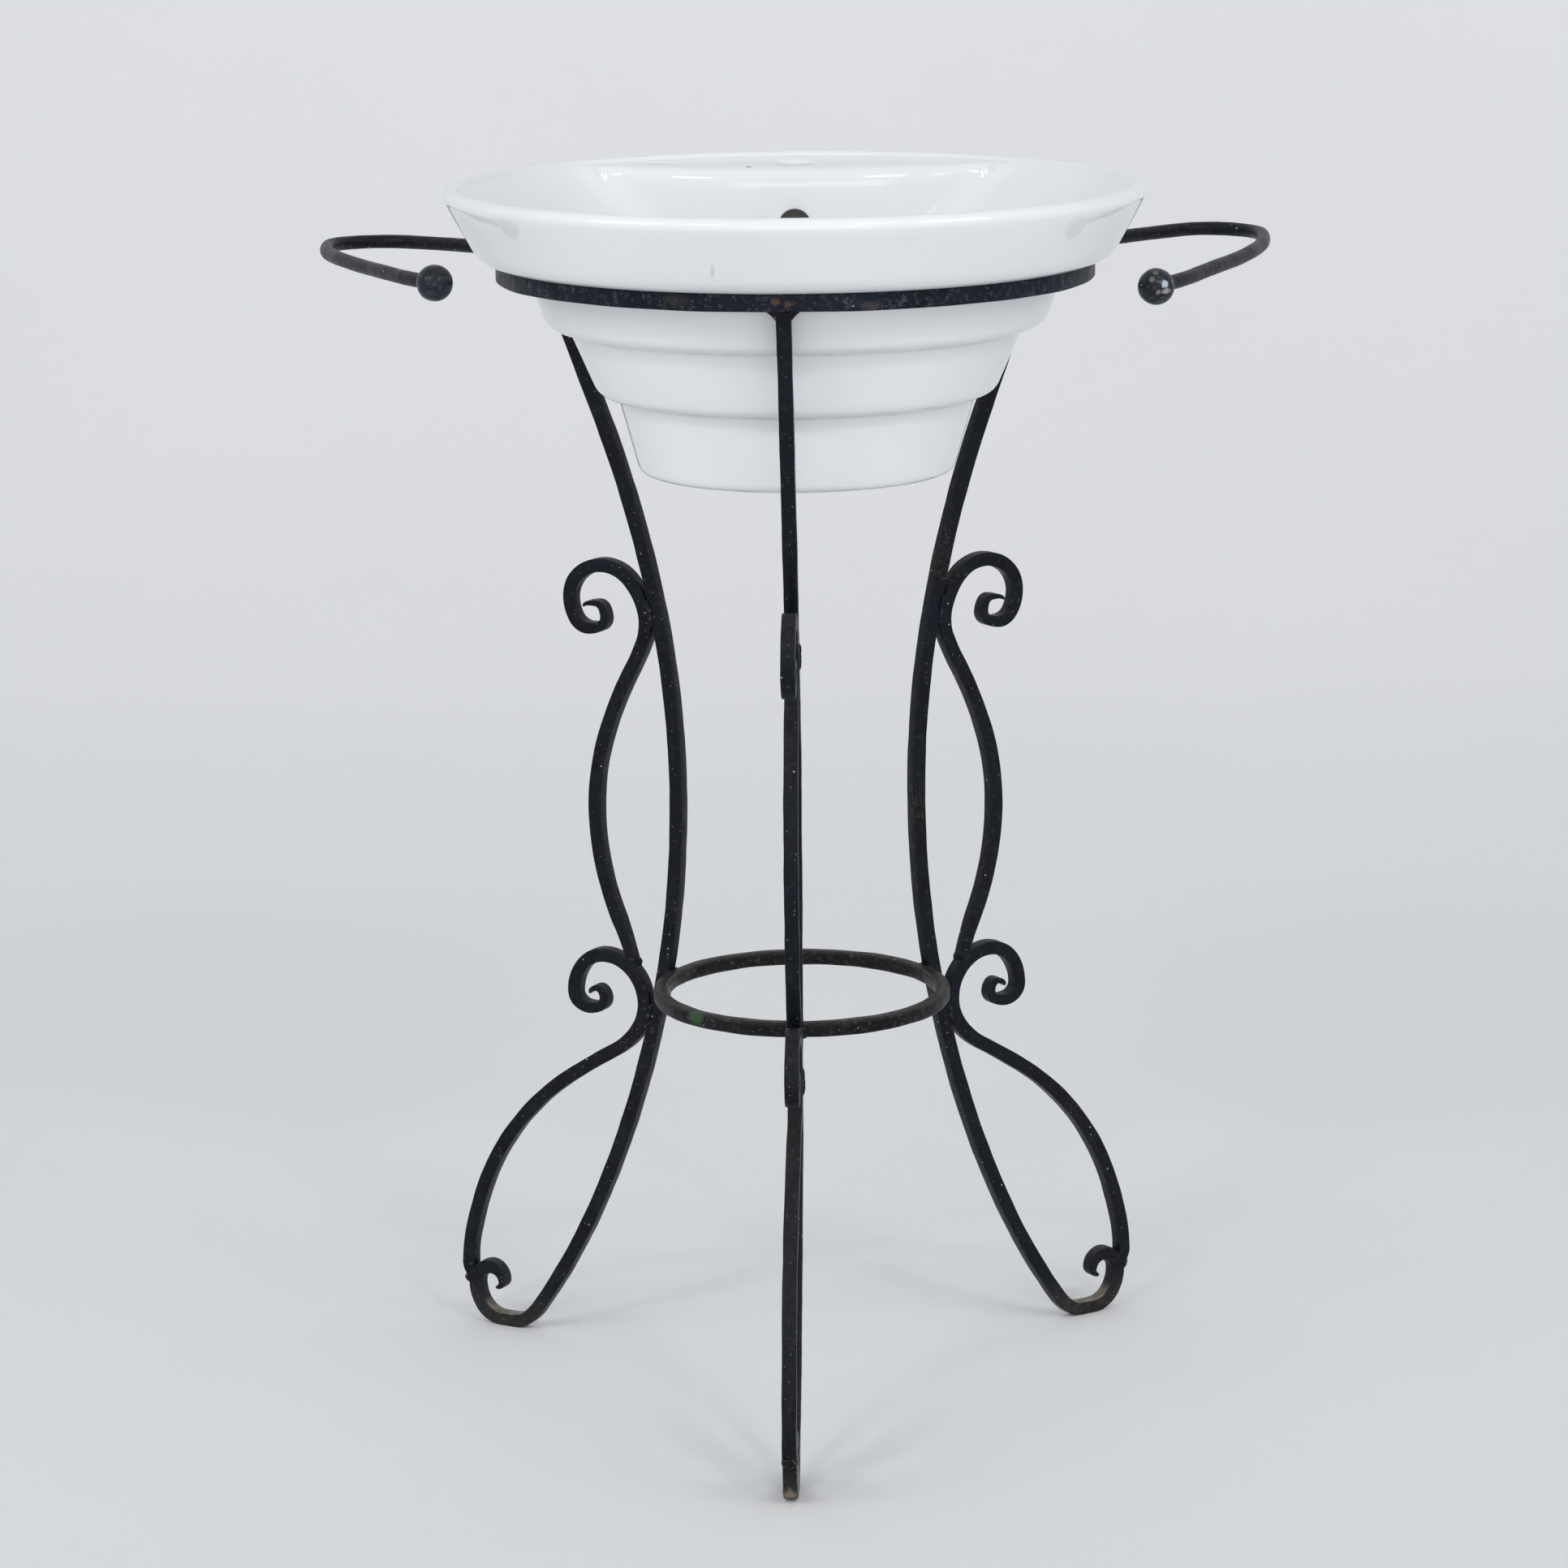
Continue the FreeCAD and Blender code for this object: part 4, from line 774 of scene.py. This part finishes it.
def china_depth(p):
    """How far a point is outside the china, less than nothing inside it; p is (..., 3) in mm about the axis.

    The bowl is the floor and the bowed wall with a 25 mm round between them, cut off by the back wall with
    a 17 mm round; what is above the deck is taken away as well, with an edge that is rounded by 11 mm in
    its middle and less towards its corners; the lip stands round both."""
    radius, height = np.hypot(p[..., 0], p[..., 1]), p[..., 2]
    side_wall = WALL_BOW - np.hypot(radius - WALL_CENTRE[0], height - WALL_CENTRE[1])
    bowl = round_max(side_wall, FLOOR - height, 25)
    back_wall = BACK_BOW - np.hypot(p[..., 0], p[..., 1] - BACK_WALL - BACK_BOW)
    bowl = round_max(bowl, back_wall, 17)
    edge = 2.6 + 8.4 * np.clip((152 - np.abs(p[..., 0])) / 45, 0, 1) * np.clip((p[..., 1] - 100) / 30, 0, 1)
    above_deck = -round_max(-bowl, height - DECK, edge)
    inside_lip = (radius - (LIP - 1) - (height - DECK) / 3.5) * 0.9615
    hollow = round_max(above_deck, inside_lip, 1.2)
    return round_max(-hollow, height - RIM, 2.5)


def settled_on_china(p, turns=7):
    """Points moved along the slope of china_depth until it is nought: p less depth slope / slope squared."""
    for _ in range(turns):
        depth = china_depth(p)
        slope = np.stack([(china_depth(p + step) - china_depth(p - step)) / 0.02
                          for step in np.eye(3) * 0.01], -1)
        size = np.maximum((slope**2).sum(-1), 0.2)
        p = p - np.clip(depth / size, -3, 3)[..., None] * slope
    return p


def bowl_line(distance):
    """Bowl floor then the wall's arc, by distance out from the waste's seat: (radius, height)."""
    over = -np.maximum(distance - (FLOOR_EDGE - FLANGE), 0) / WALL_BOW
    wall = WALL_CENTRE + WALL_BOW * np.stack([np.cos(wall_start + over), np.sin(wall_start + over)], -1)
    floor = np.stack([FLANGE + distance, np.full_like(distance, FLOOR)], -1)
    return np.where((over < 0)[..., None], wall, floor)


def spun(line, angle):
    """A line of (radius, height) turned about the axis to each angle: (r cos a, r sin a, height)."""
    return np.stack([line[..., 0] * np.cos(angle)[:, None], line[..., 0] * np.sin(angle)[:, None],
                     line[..., 1]], -1)


def china_shell():
    """A closed sheet on a grid of turn and place along the section.

    Each column starts on the bowl floor, climbs to the lip or to the back wall, crosses the deck there,
    goes over the lip and down the outside to the foot and back up the waste hole. Where there is no back
    wall its columns' wall and deck points fall together."""
    back_centre = BACK_WALL + BACK_BOW
    corner = math.asin(((LIP - 1) ** 2 + back_centre**2 - BACK_BOW**2) / (2 * (LIP - 1) * back_centre))
    behind = corner + (math.pi - 2 * corner) * np.linspace(0, 1, 120, endpoint=False)
    before = math.pi - corner + (math.pi + 2 * corner) * np.linspace(0, 1, 290, endpoint=False)
    angle = np.concatenate([behind, before])
    reach = back_centre * np.sin(behind)
    near = np.full(len(angle), LIP - 1)
    near[: len(behind)] = np.minimum(reach - np.sqrt(reach**2 - back_centre**2 + BACK_BOW**2), LIP - 1)

    wall_run = WALL_BOW * (wall_start - np.arccos((near - WALL_CENTRE[0]) / WALL_BOW))
    bowl_run = FLOOR_EDGE - FLANGE + wall_run
    share = np.concatenate([np.linspace(0, 0.8, 38, endpoint=False),
                            0.8 + 0.2 * np.sin(np.linspace(0, 1.5708, 14))])
    bowl = bowl_line(bowl_run[:, None] * share)
    top = bowl[:, -1, 1]
    wall = np.stack([np.broadcast_to(near[:, None], (len(angle), 14)),
                     top[:, None] + (DECK - top)[:, None] * eased(14)], -1)
    deck = np.stack([near[:, None] + (LIP - 1 - near)[:, None] * eased(18),
                     np.full((len(angle), 18), DECK)], -1)
    lip = np.vstack([np.column_stack([LIP - 1 + eased(6), DECK + 3.5 * eased(6)]),
                     np.column_stack([LIP + np.array([0.5, 1.0, 1.7, 2.5, 3.3]), np.full(5, RIM)])])
    lip = np.broadcast_to(lip, (len(angle),) + lip.shape)
    inside = settled_on_china(spun(np.concatenate([bowl, wall, deck, lip], 1), angle))

    outer = divided(filleted([
        (LIP + 3.9, RIM, 0), (249, RIM, 6), (219.5, RING_SEAT, 20),
        (189, RING_SEAT, 3), (175, FIRST_STEP, 15), (159.5, FIRST_STEP, 3),
        (139, SECOND_STEP, 13), (126, SECOND_STEP, 3), (110, BASE, 9),
        (WASTE, BASE, 0), (WASTE, FLANGE_LEVEL, 0), (FLANGE, FLANGE_LEVEL, 0),
        (FLANGE, FLOOR - 0.5, 0)]), 8.5)
    # firing pulls the tiers a few tenths of a millimetre out of round, but not the seat or the foot
    pull = 0.25 * np.sin(3 * angle + 0.7) + 0.15 * np.sin(7 * angle + 2.1)
    ease = np.clip((outer[:, 1] - 675) / 30, 0, 1) * np.clip((860 - outer[:, 1]) / 20, 0, 1)
    radius = outer[None, :, 0] + pull[:, None] * ease - 0.3 * ease
    outside = spun(np.stack([radius, np.broadcast_to(outer[:, 1], radius.shape)], -1), angle)

    sheet = np.concatenate([inside, outside], 1)
    count, places = sheet.shape[:2]
    column, place = np.arange(count)[:, None], np.arange(places)[None]
    following, above = (column + 1) % count, (place + 1) % places
    faces = np.stack([column * places + place, column * places + above, following * places + above,
                      following * places + place], -1).reshape(-1, 4)
    return sheet.reshape(-1, 3), faces.tolist()


def lathe_plug(profile, along, place, count=96):
    """A plug that bores a hole: a (radius, distance) profile turned about a line through its place."""
    turn = np.linspace(0, 2 * math.pi, count, endpoint=False)
    profile = np.array(profile, float)
    rings = np.stack([profile[:, :1] * np.cos(turn), profile[:, :1] * np.sin(turn),
                      np.broadcast_to(profile[:, 1:], (len(profile), count))], -1)
    points = rings.reshape(-1, 3)
    if along == "back":
        points = points[:, [0, 2, 1]] * [-1, 1, 1]
    return points + place, tube_faces(len(profile), count)


def recess_plug(half_width=55.0, low=782.0, high=854.0, front=165.0, back=300.0, soft=15.0):
    """The space under the tap deck: a rounded rectangle drawn straight back."""
    turn = np.concatenate([np.linspace(corner, corner + 90, 9) for corner in (0, 90, 180, 270)])
    aside = np.repeat([1, -1, -1, 1], 9) * (half_width - soft) + soft * np.cos(np.radians(turn))
    upward = (np.repeat([1, 1, -1, -1], 9) * ((high - low) / 2 - soft) + (high + low) / 2
              + soft * np.sin(np.radians(turn)))
    rings = [np.stack([aside, np.full(36, depth), upward], -1) for depth in (front, back)]
    return np.vstack(rings), tube_faces(2, 36)


def cut_china(points, faces, plugs):
    """The sheet with its doubled points merged, and each (points, faces) plug taken out of it."""
    sheet = outward_mesh("china_blank", points * MM + [0, AXIS_Y, 0], faces, merge=True)
    blank = placed("china_blank", sheet)
    spent = [blank]
    for number, (plug_points, plug_faces) in enumerate(plugs):
        mesh = outward_mesh("plug", plug_points * MM + [0, AXIS_Y, 0], plug_faces)
        spent.append(placed("plug", mesh))
        cut = blank.modifiers.new(f"hole_{number}", "BOOLEAN")
        cut.operation, cut.solver, cut.object = "DIFFERENCE", "EXACT", spent[-1]
    bpy.context.view_layer.update()
    finished = bpy.data.meshes.new_from_object(blank.evaluated_get(bpy.context.evaluated_depsgraph_get()))
    for piece in spent:
        bpy.data.objects.remove(piece)
    finished.name = "cast_china_basin"
    return finished


def glazed_china(name):
    """White glaze fired on vitreous china: a hard bright gloss over soft white, with marks of long use and
    painted shade.

    The scale of a noise is its number of marks to the metre."""
    material = empty_material(name)
    tree = material.node_tree
    place = add_node(tree, "TexCoord").outputs["Object"]
    height = add_node(tree, "SeparateXYZ", Vector=place).outputs["Z"]
    drift = add_node(tree, "TexNoise", Vector=place, Scale=6.0, Detail=2.0)
    colour = add_node(tree, "ValToRGB", stops=[(0.3, linear("#dfe2e6")), (0.7, linear("#e5e8eb"))], Fac=drift)

    # pinholes where the glaze crawled, a millimetre across and 26 mm apart
    pits = add_node(tree, "TexVoronoi", Vector=place, Scale=38.0)
    pit_mask = add_node(tree, "ValToRGB", stops=[(0.018, 0.7), (0.03, 0.0)], Fac=pits)
    few = add_node(tree, "ValToRGB", stops=[(0.82, 0.0), (0.84, 1.0)], Fac=pits.outputs["Color"])
    pit_here = add_node(tree, "Math", {"operation": "MULTIPLY"}, i0=pit_mask, i1=few)
    colour = blended(tree, colour, pit_here, "#6d655c")

    # painted shade with grime in the creases under the tiers, on faces that look sideways or down, and a bare
    # rubbed edge round the foot
    streaks = add_node(tree, "TexNoise", Vector=place, Scale=55.0, Detail=4.0, Roughness=0.65)
    streak_mask = add_node(tree, "ValToRGB", stops=[(0.35, 0.25), (0.65, 1.0)], Fac=streaks)
    facing = add_node(tree, "NewGeometry").outputs["Normal"]
    upward = add_node(tree, "SeparateXYZ", Vector=facing).outputs["Z"]
    outside = add_node(tree, "ValToRGB", stops=[(0.05, 1.0), (0.3, 0.0)], Fac=upward)
    shade_and_grime_patches = add_node(tree, "Math", {"operation": "MULTIPLY"}, i0=streak_mask, i1=outside)
    # the two step bands are painted shade where each tier overhangs the next, with grime in it; the foot's
    # band is bare rubbed china
    for level, reach, tone, strength in ((FIRST_STEP, 3.2, "#8c867c", 0.5),
                                         (SECOND_STEP, 3.0, "#857d72", 0.55),
                                         (BASE + 1, 2.2, "#a08f76", 0.5)):
        above = add_node(tree, "Math", {"operation": "SUBTRACT"}, i0=height, i1=level * MM)
        away = add_node(tree, "Math", {"operation": "ABSOLUTE"}, i0=above)
        away = add_node(tree, "Math", {"operation": "DIVIDE"}, i0=away, i1=reach * MM)
        band = add_node(tree, "ValToRGB", stops=[(0.0, 1.0), (1.0, 0.0)], Fac=away)
        band = add_node(tree, "Math", {"operation": "MULTIPLY"}, i0=band, i1=shade_and_grime_patches)
        colour = blended(tree, colour, band, tone, strength)

    # chips round the front of the tap hole, a rust blot and an old scratch beside it
    chips = spot_mask(tree, place, (0, 166, DECK), (17, 3.8, 4), soft=0.25, ragged=0.9, grain=420.0)
    colour = blended(tree, colour, chips, "#4a4038", 0.85)
    blot = spot_mask(tree, place, (-33, 155, 866), (2.4, 3.2, 3), soft=0.4)
    colour = blended(tree, colour, blot, "#6a3a2c", 0.9)
    scratch = spot_mask(tree, place, (-103, 182, DECK), (19, 2.6, 3), soft=0.4, ragged=0.35, grain=300.0)
    colour = blended(tree, colour, scratch, "#8a5f55", 0.85)
    # painted shade in the mouth of the overflow, with soot and slime in it
    overflow_shade_and_slime = spot_mask(tree, place, (0, 156, OVERFLOW_LEVEL), (17, 8.8, 17), soft=0.12)
    colour = blended(tree, colour, overflow_shade_and_slime, "#4a463a", 0.92)
    # a faint run of rust water down the cone
    run = spot_mask(tree, place, (-54, -226, 833), (1.8, 12, 8), soft=0.8, ragged=0.3, grain=260.0)
    colour = blended(tree, colour, run, "#b9a98c", 0.5)

    # orange peel of the glaze, 11 mm across and barely felt
    orange_peel = add_node(tree, "TexNoise", Vector=place, Scale=90.0, Detail=1.0)
    skin = add_node(tree, "Bump", Strength=0.06, Distance=0.4 * MM, Height=orange_peel)
    surface = add_node(tree, "BsdfPrincipled", Base_Color=colour, Roughness=0.07, Normal=skin, IOR=1.52)
    add_node(tree, "OutputMaterial", Surface=surface)
    return material


tap_plug = lathe_plug([(TAP, 845), (TAP, 864.6), (17.75, 865.5), (18.4, 866.2), (19.4, 866.6), (19.4, 885)],
                      "up", (0, TAP_BACK, 0))
overflow_plug = lathe_plug([(13.2, 120), (13.2, 141.7), (12.1, 142.3), (11.6, 143.4), (OVERFLOW, 145),
                            (OVERFLOW, 157)], "back", (0, 0, OVERFLOW_LEVEL))
basin_mesh = cut_china(*china_shell(), [tap_plug, overflow_plug, recess_plug()])
dress_piece("cast_china_basin", basin_mesh, glazed_china("white_glaze_on_vitreous_china"),
            "china_basin", ["basin"], smooth=38)

# ------------------------------------------------------------------------------------------------
# Studio. A pale painted floor that sweeps up into the wall, four soft lamps above and to the sides,
# a long low panel in front that lights the iron, and even light from all round.
# ------------------------------------------------------------------------------------------------


def painted_floor(name):
    """Pale grey paint graded as painted light: darker near the front, which gets more light, and lightest
    where the floor turns up.
    """
    material = empty_material(name)
    tree = material.node_tree
    place = add_node(tree, "TexCoord").outputs["Object"]
    back = add_node(tree, "SeparateXYZ", Vector=place).outputs["Y"]
    along = add_node(tree, "MapRange", Value=back, From_Min=-1.2, From_Max=4.2)
    # painted light: the paint lightens towards the turn of the sweep, where less light reaches, so the floor
    # renders even
    painted_light_tones = ((0.08, "#d9dbdd"), (0.26, "#e3e5e7"), (0.5, "#edeff1"), (0.7, "#f9fafb"), (0.95, "#f8f9fb"))
    paint = add_node(tree, "ValToRGB", stops=[(share, linear(tone)) for share, tone in painted_light_tones], Fac=along)
    clouds = add_node(tree, "TexNoise", Vector=place, Scale=1.3, Detail=5.0, Roughness=0.55)
    faint = add_node(tree, "ValToRGB", stops=[(0.3, 0.0), (0.7, 0.04)], Fac=clouds)
    grain = add_node(tree, "TexNoise", Vector=place, Scale=260.0, Detail=3.0, Roughness=0.7)
    rough = add_node(tree, "Bump", Strength=0.2, Distance=0.6 * MM, Height=grain)
    surface = add_node(tree, "BsdfPrincipled", Base_Color=blended(tree, paint, faint, "#b9bbbe"),
                       Roughness=0.7, Normal=rough)
    add_node(tree, "OutputMaterial", Surface=surface)
    return material


def sweep(width=9.0, front=-6.0, bend=2.4, radius=2.6, top=7.0):
    """Floor from front to bend, a quarter circle, then an upright wall."""
    turn = np.linspace(0, math.pi / 2, 25)
    curve = np.stack([bend + radius * np.sin(turn), radius * (1 - np.cos(turn))], 1)
    line = np.vstack([[[front, 0]], curve, [[bend + radius, top]]])
    points = np.vstack([np.column_stack([np.full(len(line), x), line]) for x in (-width, width)])
    count = len(line)
    return points, [[k, k + count, k + count + 1, k + 1] for k in range(count - 1)]


points, faces = sweep()
mesh = bpy.data.meshes.new("studio_sweep")
mesh.from_pydata(points.tolist(), [], faces)
mesh.shade_smooth()
mesh.materials.append(painted_floor("pale_floor_paint"))
studio = placed("studio_sweep", mesh)


def soft_lamp(name, azimuth, elevation, distance, size, watts):
    """Flat lamp aimed at the basin from so many metres; azimuth in degrees from straight in front,
    positive to the right, and elevation in degrees above the basin."""
    lamp = bpy.data.lights.new(name, "AREA")
    lamp.shape = "RECTANGLE"
    lamp.size, lamp.size_y = size
    lamp.energy = watts
    lamp.color = (1.0, 0.985, 0.97)
    a, e = math.radians(azimuth), math.radians(elevation)
    away = Vector((math.sin(a) * math.cos(e), -math.cos(a) * math.cos(e), math.sin(e)))
    spot = placed(name, lamp)
    spot.location = Vector((0, AXIS_Y, 0.75)) + away * distance
    spot.rotation_euler = (-away).to_track_quat("-Z", "Y").to_euler()
    spot.visible_camera = False


soft_lamp("lamp_far_left", -58, 28, 3.4, (1.3, 1.1), 19)
soft_lamp("lamp_near_left", -31.5, 36, 3.4, (0.55, 0.25), 13)
soft_lamp("lamp_near_right", 28, 36, 3.4, (0.55, 0.25), 13)
soft_lamp("lamp_far_right", 54, 28, 3.4, (1.3, 1.1), 17)
soft_lamp("low_front_panel", 4, 7, 4.6, (3.4, 1.3), 24)

# brighter round the horizon than overhead, as in a room of white screens, and plain grey where it is seen
world = bpy.data.worlds.new("even_studio_light")
world.use_nodes = True
bpy.context.scene.world = world
tree = world.node_tree
tree.nodes.clear()
rise = add_node(tree, "SeparateXYZ", Vector=add_node(tree, "TexCoord").outputs["Generated"]).outputs["Z"]
dimmer = add_node(tree, "MapRange", Value=rise, To_Min=0.97, To_Max=0.42)
around = add_node(tree, "Background", Color=(0.975, 0.985, 1.0, 1), Strength=dimmer)
shown = add_node(tree, "Background", Color=linear("#d9dce0"))
ray = add_node(tree, "LightPath").outputs
seen = add_node(tree, "Math", {"operation": "MAXIMUM"}, i0=ray["Is Camera Ray"], i1=ray["Is Glossy Ray"])
add_node(tree, "OutputWorld", Surface=add_node(tree, "MixShader", Fac=seen, i1=around, i2=shown))

# ------------------------------------------------------------------------------------------------
# Camera. A long lens 3.5 m in front of the stand's axis, a third of a metre above the rim, looking
# down by 12.5 degrees. Its three angles are in radians.
# ------------------------------------------------------------------------------------------------

FOCAL_PIXELS, FRAME_PIXELS = 6108.0, 1932.0
CAMERA_BACK, CAMERA_HEIGHT = 3.4556, 1.2070
PITCH, YAW, TILT = 0.2180, -0.0033, -0.0100
lens = bpy.data.cameras.new("studio_camera")
lens.sensor_width = 36.0
lens.sensor_fit = "HORIZONTAL"
lens.lens = FOCAL_PIXELS / FRAME_PIXELS * lens.sensor_width
camera = placed("studio_camera", lens)
ahead = Vector((math.sin(YAW) * math.cos(PITCH), math.cos(YAW) * math.cos(PITCH), -math.sin(PITCH)))
right = Vector((math.cos(YAW), -math.sin(YAW), 0))
up = right.cross(ahead)
right, up = right * math.cos(TILT) + up * math.sin(TILT), up * math.cos(TILT) - right * math.sin(TILT)
turn = Matrix((right, up, -ahead)).transposed().to_4x4()
camera.matrix_world = Matrix.Translation(Vector((0, AXIS_Y - CAMERA_BACK, CAMERA_HEIGHT))) @ turn
bpy.context.scene.camera = camera
bpy.context.scene.view_settings.view_transform = "Standard"
